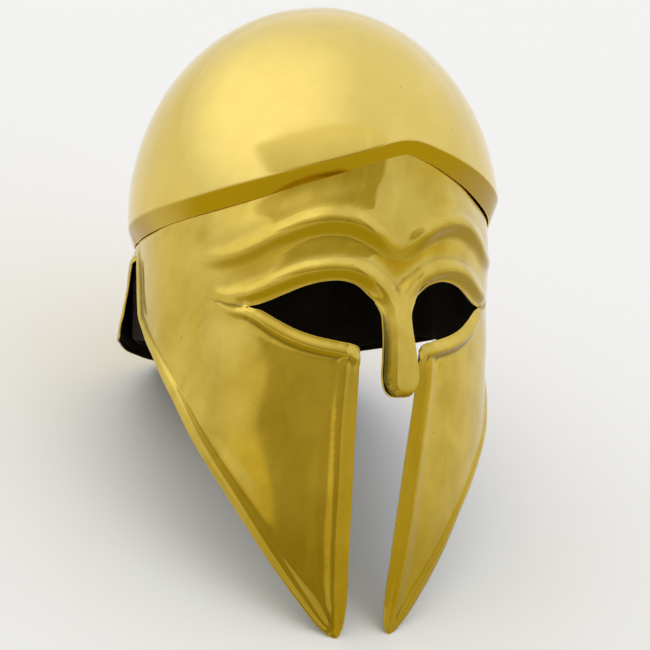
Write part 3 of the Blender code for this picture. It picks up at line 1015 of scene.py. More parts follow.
@dataclass(frozen=True)
class HandPolishedBrass:
    """Yellow brass sheet, planished and polished by hand, so it mirrors softly and unevenly.

    Wiping leaves fine lines and smudges, the air a thin olive tarnish in clouds, and dirt stays
    in small pits and on the inner side. Shade is painted on: darker brass on undersides, low on
    the cheeks and by the gap, and near-black in the creases, where old polish also stays.
    """

    name: str
    # the clean metal, its tarnish, its darker colour where shade is painted, and near-black for dirt
    # and painted crease shade
    bright: str = "#e5cb6c"
    tarnish: str = "#c2a23a"
    painted_shade_colour: str = "#ad8b0d"
    dirt_and_shade: str = "#1f180b"
    roughness: float = 0.06
    smudged: float = 0.1
    dirt_and_shade_roughness: float = 0.55
    tint: float = 0.3
    cloud_mm: float = 45.0
    smear_mm: float = 15.0
    smear_stretch: float = 2.5
    pit_mm: float = 13.0
    smudge_mm: float = 14.0
    # finer on the real sheet, and drawn this coarse to show at all
    line_mm: float = 0.9
    line_length_mm: float = 26.0
    line_depth_mm: float = 0.02

    def tarnished_and_shaded(self, tree: bpy.types.NodeTree,
                  place: bpy.types.NodeSocket) -> bpy.types.NodeSocket:
        """Colour of the clean metal: clouds and smears of tarnish, darker where shade is painted.

        Args:
            tree: the material's nodes.
            place: where on the object.

        Returns:
            The colour.
        """
        clouds = add_node(tree, "TexNoise", {
            "Vector": place, "Scale": 1000 / self.cloud_mm, "Detail": 4.0, "Roughness": 0.55})
        clouds = add_node(tree, "MapRange", {
            "Value": clouds.outputs["Fac"], "From Min": 0.38, "From Max": 0.68})
        drawn = add_node(tree, "Mapping", {"Vector": place, "Scale": (
            1000 / self.smear_mm, 1000 / self.smear_mm,
            1000 / self.smear_mm / self.smear_stretch)})
        smears = add_node(tree, "TexNoise", {
            "Vector": drawn.outputs[0], "Scale": 1.0, "Detail": 4.0, "Roughness": 0.5,
            "Distortion": 0.5})
        smears = add_node(tree, "MapRange", {
            "Value": smears.outputs["Fac"], "From Min": 0.36, "From Max": 0.7})
        both = add_node(tree, "Math", {0: clouds.outputs[0], 1: smears.outputs[0]},
                        operation="ADD")
        tint = add_node(tree, "Math", {0: both.outputs[0], 1: self.tint}, operation="MULTIPLY")
        colour = add_node(tree, "Mix", {
            "Factor": tint.outputs[0], "A": linear(self.bright), "B": linear(self.tarnish)},
            data_type="RGBA")
        # painted shade: darker brass on undersides, low on the cheeks and by the gap, where less
        # light falls
        painted_shade = add_node(tree, "Attribute", attribute_name="painted_shade").outputs["Fac"]
        return add_node(tree, "Mix", {
            "Factor": painted_shade, "A": colour.outputs["Result"], "B": linear(self.painted_shade_colour)},
            data_type="RGBA").outputs["Result"]

    def soiled_and_shaded(self, tree: bpy.types.NodeTree,
               place: bpy.types.NodeSocket) -> bpy.types.NodeSocket:
        """How much near-black covers the metal: dirt in small pits and on the inner side, and
        painted shade with old polish in the creases.

        Args:
            tree: the material's nodes.
            place: where on the object.

        Returns:
            A share from 0 to 1.
        """
        cells = add_node(tree, "TexVoronoi", {"Vector": place, "Scale": 1000 / self.pit_mm})
        dirt_and_shade = add_node(tree, "MapRange", {
            "Value": cells.outputs["Distance"], "From Min": 0.02, "From Max": 0.045,
            "To Min": 0.55, "To Max": 0.0}).outputs[0]
        # the crease mark is painted shade in the hollows, with old polish in it; the inner mark is
        # the dark inner side
        for name in ("crease_shade", "inner"):
            mark = add_node(tree, "Attribute", attribute_name=name).outputs["Fac"]
            dirt_and_shade = add_node(tree, "Math", {0: dirt_and_shade, 1: mark}, operation="MAXIMUM").outputs[0]
        return dirt_and_shade

    def build(self) -> bpy.types.Material:
        """Make the material.

        Returns:
            The material.
        """
        material, tree = blank(self.name)
        place = add_node(tree, "TexCoord").outputs["Object"]
        dirt_and_shade = self.soiled_and_shaded(tree, place)
        colour = add_node(tree, "Mix", {
            "Factor": dirt_and_shade, "A": self.tarnished_and_shaded(tree, place), "B": linear(self.dirt_and_shade)},
            data_type="RGBA")
        smudges = add_node(tree, "TexNoise", {
            "Vector": place, "Scale": 1000 / self.smudge_mm, "Detail": 5.0, "Roughness": 0.62,
            "Distortion": 0.6})
        rough = add_node(tree, "MapRange", {
            "Value": smudges.outputs["Fac"], "From Min": 0.3, "From Max": 0.75,
            "To Min": self.roughness, "To Max": self.roughness + self.smudged})
        rougher = add_node(tree, "Mix", {
            "Factor": dirt_and_shade, "A": rough.outputs[0], "B": self.dirt_and_shade_roughness}, data_type="FLOAT")
        stretched = add_node(tree, "Mapping", {"Vector": place, "Scale": (
            1000 / self.line_length_mm, 1000 / self.line_mm, 1000 / self.line_mm)})
        lines = add_node(tree, "TexNoise", {
            "Vector": stretched.outputs[0], "Scale": 1.0, "Detail": 2.0})
        bump = add_node(tree, "Bump", {
            "Height": lines.outputs["Fac"], "Distance": self.line_depth_mm * MM,
            "Strength": 0.35})
        shader = add_node(tree, "BsdfPrincipled", {
            "Base Color": colour.outputs["Result"], "Metallic": 1.0,
            "Roughness": rougher.outputs["Result"], "Normal": bump.outputs[0]})
        add_node(tree, "OutputMaterial", {"Surface": shader.outputs[0]})
        return material


@dataclass(frozen=True)
class DarkSuede:
    """Thin split leather glued inside, dyed dark brown: matt, napped, nearly black indoors."""

    name: str = "dark_suede_leather"
    colour: str = "#1c1610"
    worn: str = "#2c241d"
    roughness: float = 0.9
    # finer on real suede, and drawn this coarse to show at all
    nap_mm: float = 1.6
    nap_depth_mm: float = 0.3
    wear_mm: float = 28.0

    def build(self) -> bpy.types.Material:
        """Make the material.

        Returns:
            The material.
        """
        material, tree = blank(self.name)
        place = add_node(tree, "TexCoord").outputs["Object"]
        nap = add_node(tree, "TexNoise", {
            "Vector": place, "Scale": 1000 / self.nap_mm, "Detail": 4.0})
        wear = add_node(tree, "TexNoise", {
            "Vector": place, "Scale": 1000 / self.wear_mm, "Detail": 4.0})
        mask = add_node(tree, "MapRange", {
            "Value": wear.outputs["Fac"], "From Min": 0.4, "From Max": 0.7})
        colour = add_node(tree, "Mix", {
            "Factor": mask.outputs[0], "A": linear(self.colour), "B": linear(self.worn)},
            data_type="RGBA")
        bump = add_node(tree, "Bump", {
            "Height": nap.outputs["Fac"], "Distance": self.nap_depth_mm * MM, "Strength": 0.6})
        shader = add_node(tree, "BsdfPrincipled", {
            "Base Color": colour.outputs["Result"], "Roughness": self.roughness,
            "Specular IOR Level": 0.15, "Normal": bump.outputs[0]})
        add_node(tree, "OutputMaterial", {"Surface": shader.outputs[0]})
        return material


@dataclass(frozen=True)
class MattPaper:
    """Pale matt studio paper under the helmet, which spreads the light softly upwards."""

    name: str = "matt_studio_paper"
    colour: str = "#fbfaf5"
    roughness: float = 0.85
    # finer on real paper, and drawn this coarse to show at all
    grain_mm: float = 1.1
    grain_depth_mm: float = 0.1

    def build(self) -> bpy.types.Material:
        """Make the material.

        Returns:
            The material.
        """
        material, tree = blank(self.name)
        place = add_node(tree, "TexCoord").outputs["Object"]
        grain = add_node(tree, "TexNoise", {
            "Vector": place, "Scale": 1000 / self.grain_mm, "Detail": 2.0})
        bump = add_node(tree, "Bump", {
            "Height": grain.outputs["Fac"], "Distance": self.grain_depth_mm * MM,
            "Strength": 0.1})
        shader = add_node(tree, "BsdfPrincipled", {
            "Base Color": linear(self.colour), "Roughness": self.roughness,
            "Normal": bump.outputs[0]})
        add_node(tree, "OutputMaterial", {"Surface": shader.outputs[0]})
        return material


@dataclass
class Piece:
    """A finished piece: its body in upright millimetres, and what its surface carries."""

    name: str
    node: str
    slot: str
    plate: Plate
    # shares from 0 to 1 at the sheet's points, which the finish reads by name
    marks: dict[str, Array]
    # depth through the wall, 0 outside and 1 inside, over which the finish gets to its inner side
    inner_from: Span = (0.6, 1.0)

    def place(self, rest: Rest, material: bpy.types.Material) -> bpy.types.Object:
        """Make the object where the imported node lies.

        Args:
            rest: how the helmet lies.
            material: the finish.

        Returns:
            The object, riding on its body.
        """
        points, normals, faces, depth = self.plate.build()
        matrix = rest.matrix()
        turn = np.array(matrix.to_3x3())
        points = points * MM @ turn.T + np.array(matrix.translation)
        mesh = bpy.data.meshes.new(self.name)
        mesh.from_pydata(points.tolist(), [], faces)
        mesh.update()
        mesh.shade_smooth()
        mesh.normals_split_custom_set_from_vertices((normals @ turn.T).tolist())
        edge = np.zeros(len(points) - 2 * len(self.plate.sheet.points))
        marks = {name: np.concatenate([values, edge, values])
                 for name, values in self.marks.items()}
        marks["inner"] = ease(depth, *self.inner_from)
        for name, values in marks.items():
            attribute = mesh.attributes.new(name, "FLOAT", "POINT")
            attribute.data.foreach_set("value", values.astype(np.float32))
        mesh.materials.append(material)
        piece = bpy.data.objects.new(self.name, mesh)
        bpy.context.scene.collection.objects.link(piece)
        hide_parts(self.node)
        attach(piece, BODY)
        triangles = sum(len(face) - 2 for face in faces)
        log.info("%s: %d points, %d triangles", self.name, len(points), triangles)
        return piece


@dataclass
class SkullBowl:
    """Round brass bowl, whose rim is turned in to a band that seats it on the face guard."""

    form: Form
    columns: int = 150
    dome_rows: int = 56
    band_rows: int = 6
    rim_radius: float = 1.1
    rim_rows: int = 4
    first_rises: tuple[float, ...] = (0.7, 1.7, 3.2)
    waves: Waves = Waves(3, 30.0, 90.0, 0.10)
    # how far down a face looks where the painted shade of its underside begins and is full
    underside: Span = (0.05, 0.4)

    def rows(self, angles: Array) -> list[Array]:
        """Rows of points over one half, from the lip up over the rim to just below the crown.

        Args:
            angles: angles of the columns.

        Returns:
            The rows.
        """
        form = self.form
        rim, lip = form.rim_height(angles), form.lip_height(angles)
        stand_off = form.brass_wall + form.lip_clearance
        lip_points = form.wall(angles, lip) + stand_off * form.normals(form.wall, angles, lip)
        lip_points[:, 2] = lip
        rim_points = form.dome(angles, rim)
        rows = [lip_points * (1 - share) + rim_points * share
                for share in np.arange(self.band_rows) / self.band_rows]
        # a rounded bend leads from the band into the dome
        below = rim_points + unit(lip_points - rim_points) * self.rim_radius
        above = form.dome(angles, rim + self.rim_radius)
        rows += [below * (1 - t) ** 2 + rim_points * 2 * t * (1 - t) + above * t * t
                 for t in np.linspace(0, 1, self.rim_rows + 1)]
        rows += [form.dome(angles, rim + self.rim_radius + rise) for rise in self.first_rises]
        start = np.arcsin((rows[-1][:, 2] - form.bowl_centre_height) / form.bowl_rise)
        for share in np.arange(1, self.dome_rows) / self.dome_rows:
            climb = np.sin(start + (math.pi / 2 - start) * share)
            rows.append(form.dome(angles, form.bowl_centre_height + form.bowl_rise * climb))
        return rows

    def sheet(self) -> Sheet:
        """Lay one half of the outer surface.

        Returns:
            The half sheet.
        """
        form = self.form
        angles = np.linspace(0, 180, self.columns + 1)
        grid = np.array(self.rows(angles))
        along = np.gradient(grid, axis=1)
        climbs = unit(np.diff(grid, axis=0))
        up = np.concatenate([climbs[:1], climbs[:-1] + climbs[1:], climbs[-1:]])
        normals = unit(np.cross(along, up))
        dents = self.waves.at(grid.reshape(-1, 3)).reshape(grid.shape[:2])
        grid = grid + normals * dents[..., None]
        rows, width = grid.shape[:2]
        points = np.vstack([grid.reshape(-1, 3),
                            [[0.0, 0.0, form.bowl_centre_height + form.bowl_rise]]])
        normals = np.vstack([normals.reshape(-1, 3), [[0.0, 0.0, 1.0]]])
        faces = [(row * width + column, row * width + column + 1, (row + 1) * width + column + 1,
                  (row + 1) * width + column)
                 for row in range(rows - 1) for column in range(self.columns)]
        top = (rows - 1) * width
        faces += [(top + column, top + column + 1, len(points) - 1)
                  for column in range(self.columns)]
        points[:-1] = on_middle(points[:-1], np.tile(angles, rows))
        return Sheet(points, normals, faces)

    def build(self) -> Piece:
        """Make the bowl's piece.

        Returns:
            The piece.
        """
        whole = self.sheet().whole()
        # painted shade on the bowl's undersides, and no crease shade on its plain dome
        marks = {"crease_shade": np.zeros(len(whole.points)),
                 "painted_shade": ease(-whole.normals[:, 2], *self.underside)}
        return Piece("polished_skull_bowl", "skull_bowl", "polished_brass",
                     Plate(whole, self.form.brass_wall), marks)


@dataclass(frozen=True)
class CreaseShade:
    """Painted shade in the hollows, where old polish also stays, and along the nasal's cut edge."""

    share: float = 0.62
    # curvature in 1/mm, and distances in mm from the cut edges and the bowl's lip
    curvature: Span = (0.1, 0.6)
    from_edge: Span = (2.0, 4.0)
    from_lip: Span = (4.0, 8.0)
    # the nasal ends at these angles and heights
    nasal_angles: Span = (6.0, 7.5)
    nasal_heights: Span = (-4.0, 2.0)
    nasal_share: float = 0.5
    nasal_edge: Span = (1.2, 2.2)

    def at(self, relief: Relief, angle: Array, height: Array) -> Array:
        """Work out how much painted shade lies at each point.

        Args:
            relief: the relief with its hollows.
            angle: angles of the points.
            height: heights of the points.

        Returns:
            Shares from 0 to 1.
        """
        form = relief.form
        from_edge = gaps(form.flat(angle, height), neighbours(outline(form, 1.0)))
        from_lip = form.lip_height(angle) - height
        nasal = (1 - ease(angle, *self.nasal_angles)) * (1 - ease(height, *self.nasal_heights))
        hollows = (self.share * ease(relief.hollow(angle, height), *self.curvature)
                   * ease(from_edge, *self.from_edge) * ease(from_lip, *self.from_lip))
        nasal_edge = self.nasal_share * (1 - ease(from_edge, *self.nasal_edge))
        return hollows * (1 - nasal) + nasal_edge * nasal


@dataclass(frozen=True)
class PaintedShade:
    """Painted shade: the brass is darker on undersides, low on the cheeks and by the gap."""

    # how far down a face looks
    underside: Span = (0.1, 0.55)
    cheek_share: float = 0.72
    cheek_depths: Span = (70.0, 150.0)
    nasal_share: float = 0.15
    nasal_depths: Span = (-4.0, 14.0)
    nasal_half_width: float = 13.5
    gap_share: float = 0.6
    gap_depths: Span = (24.0, 34.0)
    gap_reach: Span = (24.0, 32.0)
    # the nasal and the gap lie ahead of this Y
    front: float = -60.0

    def at(self, sheet: Sheet) -> Array:
        """Work out how much shade is painted at each point of a whole sheet.

        Args:
            sheet: the sheet.

        Returns:
            Shares from 0 to 1.
        """
        aside, depth = np.abs(sheet.points[:, 0]), -sheet.points[:, 2]
        in_front = sheet.points[:, 1] < self.front
        on_nasal = aside < self.nasal_half_width
        nasal = self.nasal_share * ease(depth, *self.nasal_depths) * on_nasal
        gap = (self.gap_share * ease(depth, *self.gap_depths)
               * (1 - ease(aside, *self.gap_reach)) * ~on_nasal)
        return np.maximum.reduce([
            ease(-sheet.normals[:, 2], *self.underside),
            self.cheek_share * ease(depth, *self.cheek_depths), (nasal + gap) * in_front])


@dataclass
class FaceGuard:
    """Embossed brass face guard: brow, eye rims, nasal, cheek pieces and flared neck guard."""

    form: Form
    relief: Relief
    # spacing of the points along the edges and between the rows beside them
    edge_step: float = 1.3
    # the same for the hidden top edge, and the fine copy of the cut edge that gaps are taken from
    top_step: float = 3.25
    fine_step: float = 1.0
    border_reach: float = 16.0
    # shares of that spacing: the least gaps at the groove, the bends, the rows and the brow's
    # lines, and how far apart neighbours on a bend may lie to be joined
    groove_gap: float = 0.5
    bend_gap: float = 0.55
    row_gap: float = 0.8
    brow_gap: float = 0.6
    bend_join: float = 1.5
    bridge_zone: Zone = Zone(24.0, -48.0, 42.0, 1.0, 0.95)
    brow_zone: Zone = Zone(120.95, 4.0, 74.0, 1.5, 0.68)
    # how much farther round the brow's lines run, and how its points may close up in them
    brow_overrun: float = 12.0
    brow_thinning: float = 0.7
    # distances of lines of points from the brow's crest line, upwards
    brow_lines: tuple[float, ...] = (-8.2, -6.8, -5.4, -4.0, -2.7, -1.4, -0.6, 0.1, 1.2, 2.6, 4.0,
                                     5.4, 6.8, 8.2, 10.0)
    # the same as a zone's, for all the rest down to the floor
    plain_step: float = 3.2
    plain_gap: float = 0.66
    floor: float = -195.0
    wear_rounds: int = 5
    waves: Waves = Waves(11, 26.0, 80.0, 0.14)
    # distance from the middle line over which the waves set in
    calm: Span = (0.0, 10.0)
    # painted shade in the hollows and along the nasal's edge, with old polish in the hollows
    crease_shading: CreaseShade = CreaseShade()
    # painted shade on undersides, low on the cheeks and by the gap
    painted_shade: PaintedShade = PaintedShade()

    def loop(self) -> Array:
        """Outline of one half: the cut edge, up the nape, along the top and down the front.

        Returns:
            The flat points.
        """
        form, step = self.form, self.edge_step
        cut = outline(form, step)
        middle = math.pi * form.girth_radius
        top_angles = np.linspace(180, 0, round(middle / self.top_step))
        top = form.flat(top_angles, form.lip_height(top_angles) + form.tuck)
        nape = np.arange(cut[-1, 1] + step, top[0, 1] - step / 2, step)
        front = np.arange(top[-1, 1] - step, cut[0, 1] + step / 2, -step)
        return np.vstack([cut, np.column_stack([0 * nape + middle, nape]), top,
                          np.column_stack([0 * front, front])])

    def add_bend(self, pattern: Pattern, edge: Edge, bend: float, fine: Array) -> None:
        """Spread points along one bend of a border, and join them to an edge of the mesh.

        Args:
            pattern: takes the points.
            edge: the border's edge.
            bend: the bend's step in the border's section.
            fine: the cut edge, drawn finely.
        """
        values = Course(self.form, edge.rows, self.edge_step).values
        distance = (values[:, Column.CREST_IN] * min(bend, 1)
                    + values[:, Column.FADE] * max(bend - 1, 0))
        near = distance < self.border_reach
        if near.sum() > 2:
            line = self.form.flat(values[near, Column.ANGLE], values[near, Column.HEIGHT])
            line = thinned(beside(line, distance[near], fine), self.edge_step * self.row_gap)
            pattern.add(line, self.edge_step * self.bend_gap, self.edge_step * self.bend_join)

    def add_borders(self, pattern: Pattern, fine: Array) -> None:
        """Spread points along the groove and the borders, crests first, and in rows beside them.

        Args:
            pattern: takes the points.
            fine: the cut edge, drawn finely.
        """
        groove = Course(self.form, GROOVE, self.edge_step).values[:-1]
        pattern.add(self.form.flat(groove[:, Column.ANGLE], groove[:, Column.HEIGHT]),
                    self.edge_step * self.groove_gap)
        for crests in (True, False):
            for edge in EDGES:
                for bend in edge.section.bends():
                    if (bend == 1) is crests:
                        self.add_bend(pattern, edge, bend, fine)
        gap = self.edge_step * self.row_gap
        for number in range(1, int(self.border_reach / self.edge_step) + 1):
            pattern.add(thinned(beside(fine, number * self.edge_step, fine), gap), gap)

    def pattern(self) -> Pattern:
        """Cut one half out and spread its points, closest where the relief is finest.

        Returns:
            The pattern.
        """
        form = self.form
        fine = outline(form, self.fine_step)
        pattern = Pattern(form, self.loop())
        self.add_borders(pattern, fine)
        crest = Course(form, self.relief.brow, self.brow_zone.step).values
        crest = form.flat(crest[:, Column.ANGLE], crest[:, Column.HEIGHT])
        crest = crest[crest[:, 0] < self.brow_zone.girth + self.brow_overrun]
        for offset in self.brow_lines:
            line = thinned(beside(crest, offset, fine), self.brow_zone.step * self.brow_thinning)
            pattern.add(line, self.edge_step * self.brow_gap)
        plain = Zone(math.pi * form.girth_radius, self.floor, form.top(), self.plain_step,
                     self.plain_gap)
        for zone in (self.bridge_zone, self.brow_zone, plain):
            pattern.fill(zone)
        return pattern

    def build(self) -> Piece:
        """Make the face guard's piece.

        Returns:
            The piece.
        """
        angle, height, faces = self.pattern().mesh()
        points = on_middle(self.relief.surface(angle, height), angle)
        half = Sheet(points, self.form.normals(self.relief.surface, angle, height), faces)
        # painted shade in the hollows, with old polish in it
        dirt_and_shade = self.crease_shading.at(self.relief, angle, height)
        dirt_and_shade = np.concatenate([dirt_and_shade, dirt_and_shade[np.abs(points[:, 0]) >= TOUCHING]])
        whole = half.whole().relaxed(self.wear_rounds)
        waves = self.waves.at(whole.points) * ease(np.abs(whole.points[:, 0]), *self.calm)
        whole.points += whole.normals * waves[:, None]
        # both marks are painted shade: in the hollows, and on undersides and low parts
        return Piece("embossed_face_guard", "face_guard", "polished_brass",
                     Plate(whole, self.form.brass_wall),
                     {"crease_shade": dirt_and_shade, "painted_shade": self.painted_shade.at(whole)})


@dataclass
class Lining:
    """Suede lining glued inside the wall below and inside the bowl above."""

    form: Form
    clearance: float = 1.5
    thickness: float = 1.5
    inset: float = 3.5
    # rise over the face guard's top edge over which it passes from the wall to the bowl
    blend: Span = (4.0, 32.0)
    joggle_blend: float = 10.0
    step: float = 5.0
    floor: float = -190.0
    dome_from: float = 108.0
    dome_rows: int = 19
    crown_points: int = 7
    # angle and height over the eye where its edge starts
    start: Span = (21.5, 18.8)
    # from the middle line to there: share of the girth, how much higher
    bridge: Rows = ((0.0, 8.0), (0.35, 7.0), (0.7, 3.0))
    # angles between which a web spans the notch, and its points
    web: Span = (94.0, 114.0)
    web_points: int = 5
    # least gap between lines of points that end beside each other, in mm
    end_gap: float = 2.0
    # least gaps along the edge and in the plain stretch, as shares of the spacing
    edge_gap: float = 0.7
    plain_gap: float = 0.62
    wrinkles: Waves = Waves(23, 9.0, 30.0, 0.12)

    def surface(self, angle: Array, height: Array) -> Array:
        """Outer surface, inside the brass.

        Args:
            angle: angles round from the front.
            height: heights over the eyes.

        Returns:
            The points.
        """
        form = self.form
        inset = form.brass_wall + self.clearance
        low = np.minimum(height, form.top())
        below = form.lip_height(angle) - low
        joggle = form.joggle * (1 - ease(below, 0, self.joggle_blend))
        side = (form.wall(angle, low)
                - (inset + joggle)[:, None] * form.normals(form.wall, angle, low))
        scale = 1 - inset / form.bowl_half_width
        rise = np.maximum(height - form.bowl_centre_height, 0) / scale
        dome = form.dome(angle, form.bowl_centre_height + rise) * scale
        room = np.linalg.norm(dome[:, :2], axis=1) / np.linalg.norm(side[:, :2], axis=1)
        side[:, :2] *= np.minimum(room, 1)[:, None]
        share = ease(height - form.lip_height(angle) - form.tuck, *self.blend)[:, None]
        blended = side * (1 - share) + dome * share
        blended[:, 2] = np.minimum(height, form.bowl_centre_height + form.bowl_rise * scale)
        return blended

    def edge(self) -> Array:
        """Lower edge of one half, inside the brass edge, with the web across the notch.

        Returns:
            The flat points, from the eye round to the nape.
        """
        form = self.form
        cut = outline(form, 1.0)
        # the eye's upper edge is in the first quarter of the cut edge
        away = np.abs(cut[:len(cut) // 4] - form.flat(*np.array(self.start)[:, None])).sum(1)
        inset = thinned(beside(cut[int(np.argmin(away)):], self.inset, cut),
                        self.step * self.edge_gap)
        turns = form.angle(inset[:, 0])
        last = np.flatnonzero((turns < self.web[0]) & (inset[:, 1] < 0)).max()
        after = np.flatnonzero(turns > self.web[1]).min()
        shares = np.linspace(0, 1, self.web_points + 2)[1:-1, None]
        web = inset[last] + (inset[after] - inset[last]) * shares
        inset = np.vstack([inset[:last + 1], web, inset[after:]])
        return inset[inset[:, 0] < math.pi * form.girth_radius - self.end_gap]

    def pattern(self) -> Pattern:
        """Cut one half out and spread its points.

        Returns:
            The pattern.
        """
        form, edge = self.form, self.edge()
        middle = math.pi * form.girth_radius
        first = math.asin((self.dome_from - form.bowl_centre_height) / form.bowl_rise)
        climbs = np.linspace(first, math.pi / 2, self.dome_rows + 1)[:-1]
        levels = form.bowl_centre_height + form.bowl_rise * np.sin(climbs)
        bridge = np.array([(edge[0, 0] * share, edge[0, 1] + rise) for share, rise in self.bridge])
        plain = Zone(middle, self.floor, levels[0] - self.end_gap, self.step, self.plain_gap)
        nape = np.concatenate([np.arange(edge[-1, 1], plain.high, self.step), levels])
        front = np.arange(levels[0] - self.step, bridge[0, 1] + self.end_gap, -self.step)
        crown = np.full(self.crown_points, form.bowl_centre_height + form.bowl_rise)
        pattern = Pattern(form, np.vstack([
            bridge, edge, np.column_stack([0 * nape + middle, nape]),
            np.column_stack([np.linspace(middle, 0, self.crown_points), crown]),
            np.column_stack([0 * levels, levels[::-1]]), np.column_stack([0 * front, front])]))
        for climb, level in zip(climbs, levels):
            count = max(3, round(middle * math.cos(climb) / self.step))
            girths = np.linspace(0, middle, count)[1:-1]
            pattern.add(np.column_stack([girths, 0 * girths + level]), self.end_gap)
        pattern.fill(plain)
        return pattern

    def sheet(self) -> Sheet:
        """Lay one half of the outer surface.

        Returns:
            The half sheet.
        """
        angle, height, faces = self.pattern().mesh()
        points, faces = welded(on_middle(self.surface(angle, height), angle), faces)
        normals = np.zeros_like(points)
        for face in faces:
            a, b, c = (points[i] for i in face[:3])
            normals[list(face)] += np.cross(b - a, c - a)
        normals[points[:, 0] == 0, 0] = 0
        return Sheet(points, unit(normals), faces)

    def build(self) -> Piece:
        """Make the lining's piece.

        Returns:
            The piece.
        """
        whole = self.sheet().whole()
        whole.points -= whole.normals * np.abs(self.wrinkles.at(whole.points))[:, None]
        return Piece("suede_lining", "lining", "dark_leather",
                     Plate(whole, self.thickness), {})


@dataclass(frozen=True)
class Fade:
    """A smooth change over the tent, which follows how near a direction lies to a pole.

    Low and high are the cosines of the angles to the pole at which it is at its start and at its
    end. The pole is an azimuth from the face towards the wearer's left and an elevation, both in
    degrees and upright. Without one it is straight up from the floor, where the helmet leans back.
    """

    pole: Span | None
    low: float
    high: float
    start: float = 0.0
    end: float = 1.0

    def aim(self, rest: Rest) -> Vector:
        """Direction of the pole.

        Args:
            rest: how the helmet lies.

        Returns:
            A unit vector in the frame.
        """
        if self.pole is None:
            return Vector((0, 0, 1))
        around, climb = (math.radians(angle) for angle in self.pole)
        return rest.matrix().to_3x3() @ Vector((
            math.sin(around) * math.cos(climb), -math.cos(around) * math.cos(climb),
            math.sin(climb)))

    def add(self, tree: bpy.types.NodeTree, direction: bpy.types.NodeSocket,
            rest: Rest) -> bpy.types.NodeSocket:
        """Lay the fade over all directions.

        Args:
            tree: the world's nodes.
            direction: where the light comes from.
            rest: how the helmet lies.

        Returns:
            The fading value.
        """
        share = add_node(tree, "VectorMath", {0: direction, 1: tuple(self.aim(rest))},
                         operation="DOT_PRODUCT")
        return add_node(tree, "MapRange", {
            "Value": share.outputs["Value"], "From Min": self.low, "From Max": self.high,
            "To Min": self.start, "To Max": self.end},
            interpolation_type="SMOOTHSTEP").outputs[0]


@dataclass(frozen=True)
class Patch:
    """A patch of the tent with soft edges, where all of its fades are high."""

    fades: tuple[Fade, ...]

    def add(self, tree: bpy.types.NodeTree, direction: bpy.types.NodeSocket,
            rest: Rest) -> bpy.types.NodeSocket:
        """Multiply the fades.

        Args:
            tree: the world's nodes.
            direction: where the light comes from.
            rest: how the helmet lies.

        Returns:
            The patch's value.
        """
        value = 1.0
        for fade in self.fades:
            value = add_node(tree, "Math", {0: value, 1: fade.add(tree, direction, rest)},
                             operation="MULTIPLY").outputs[0]
        return value


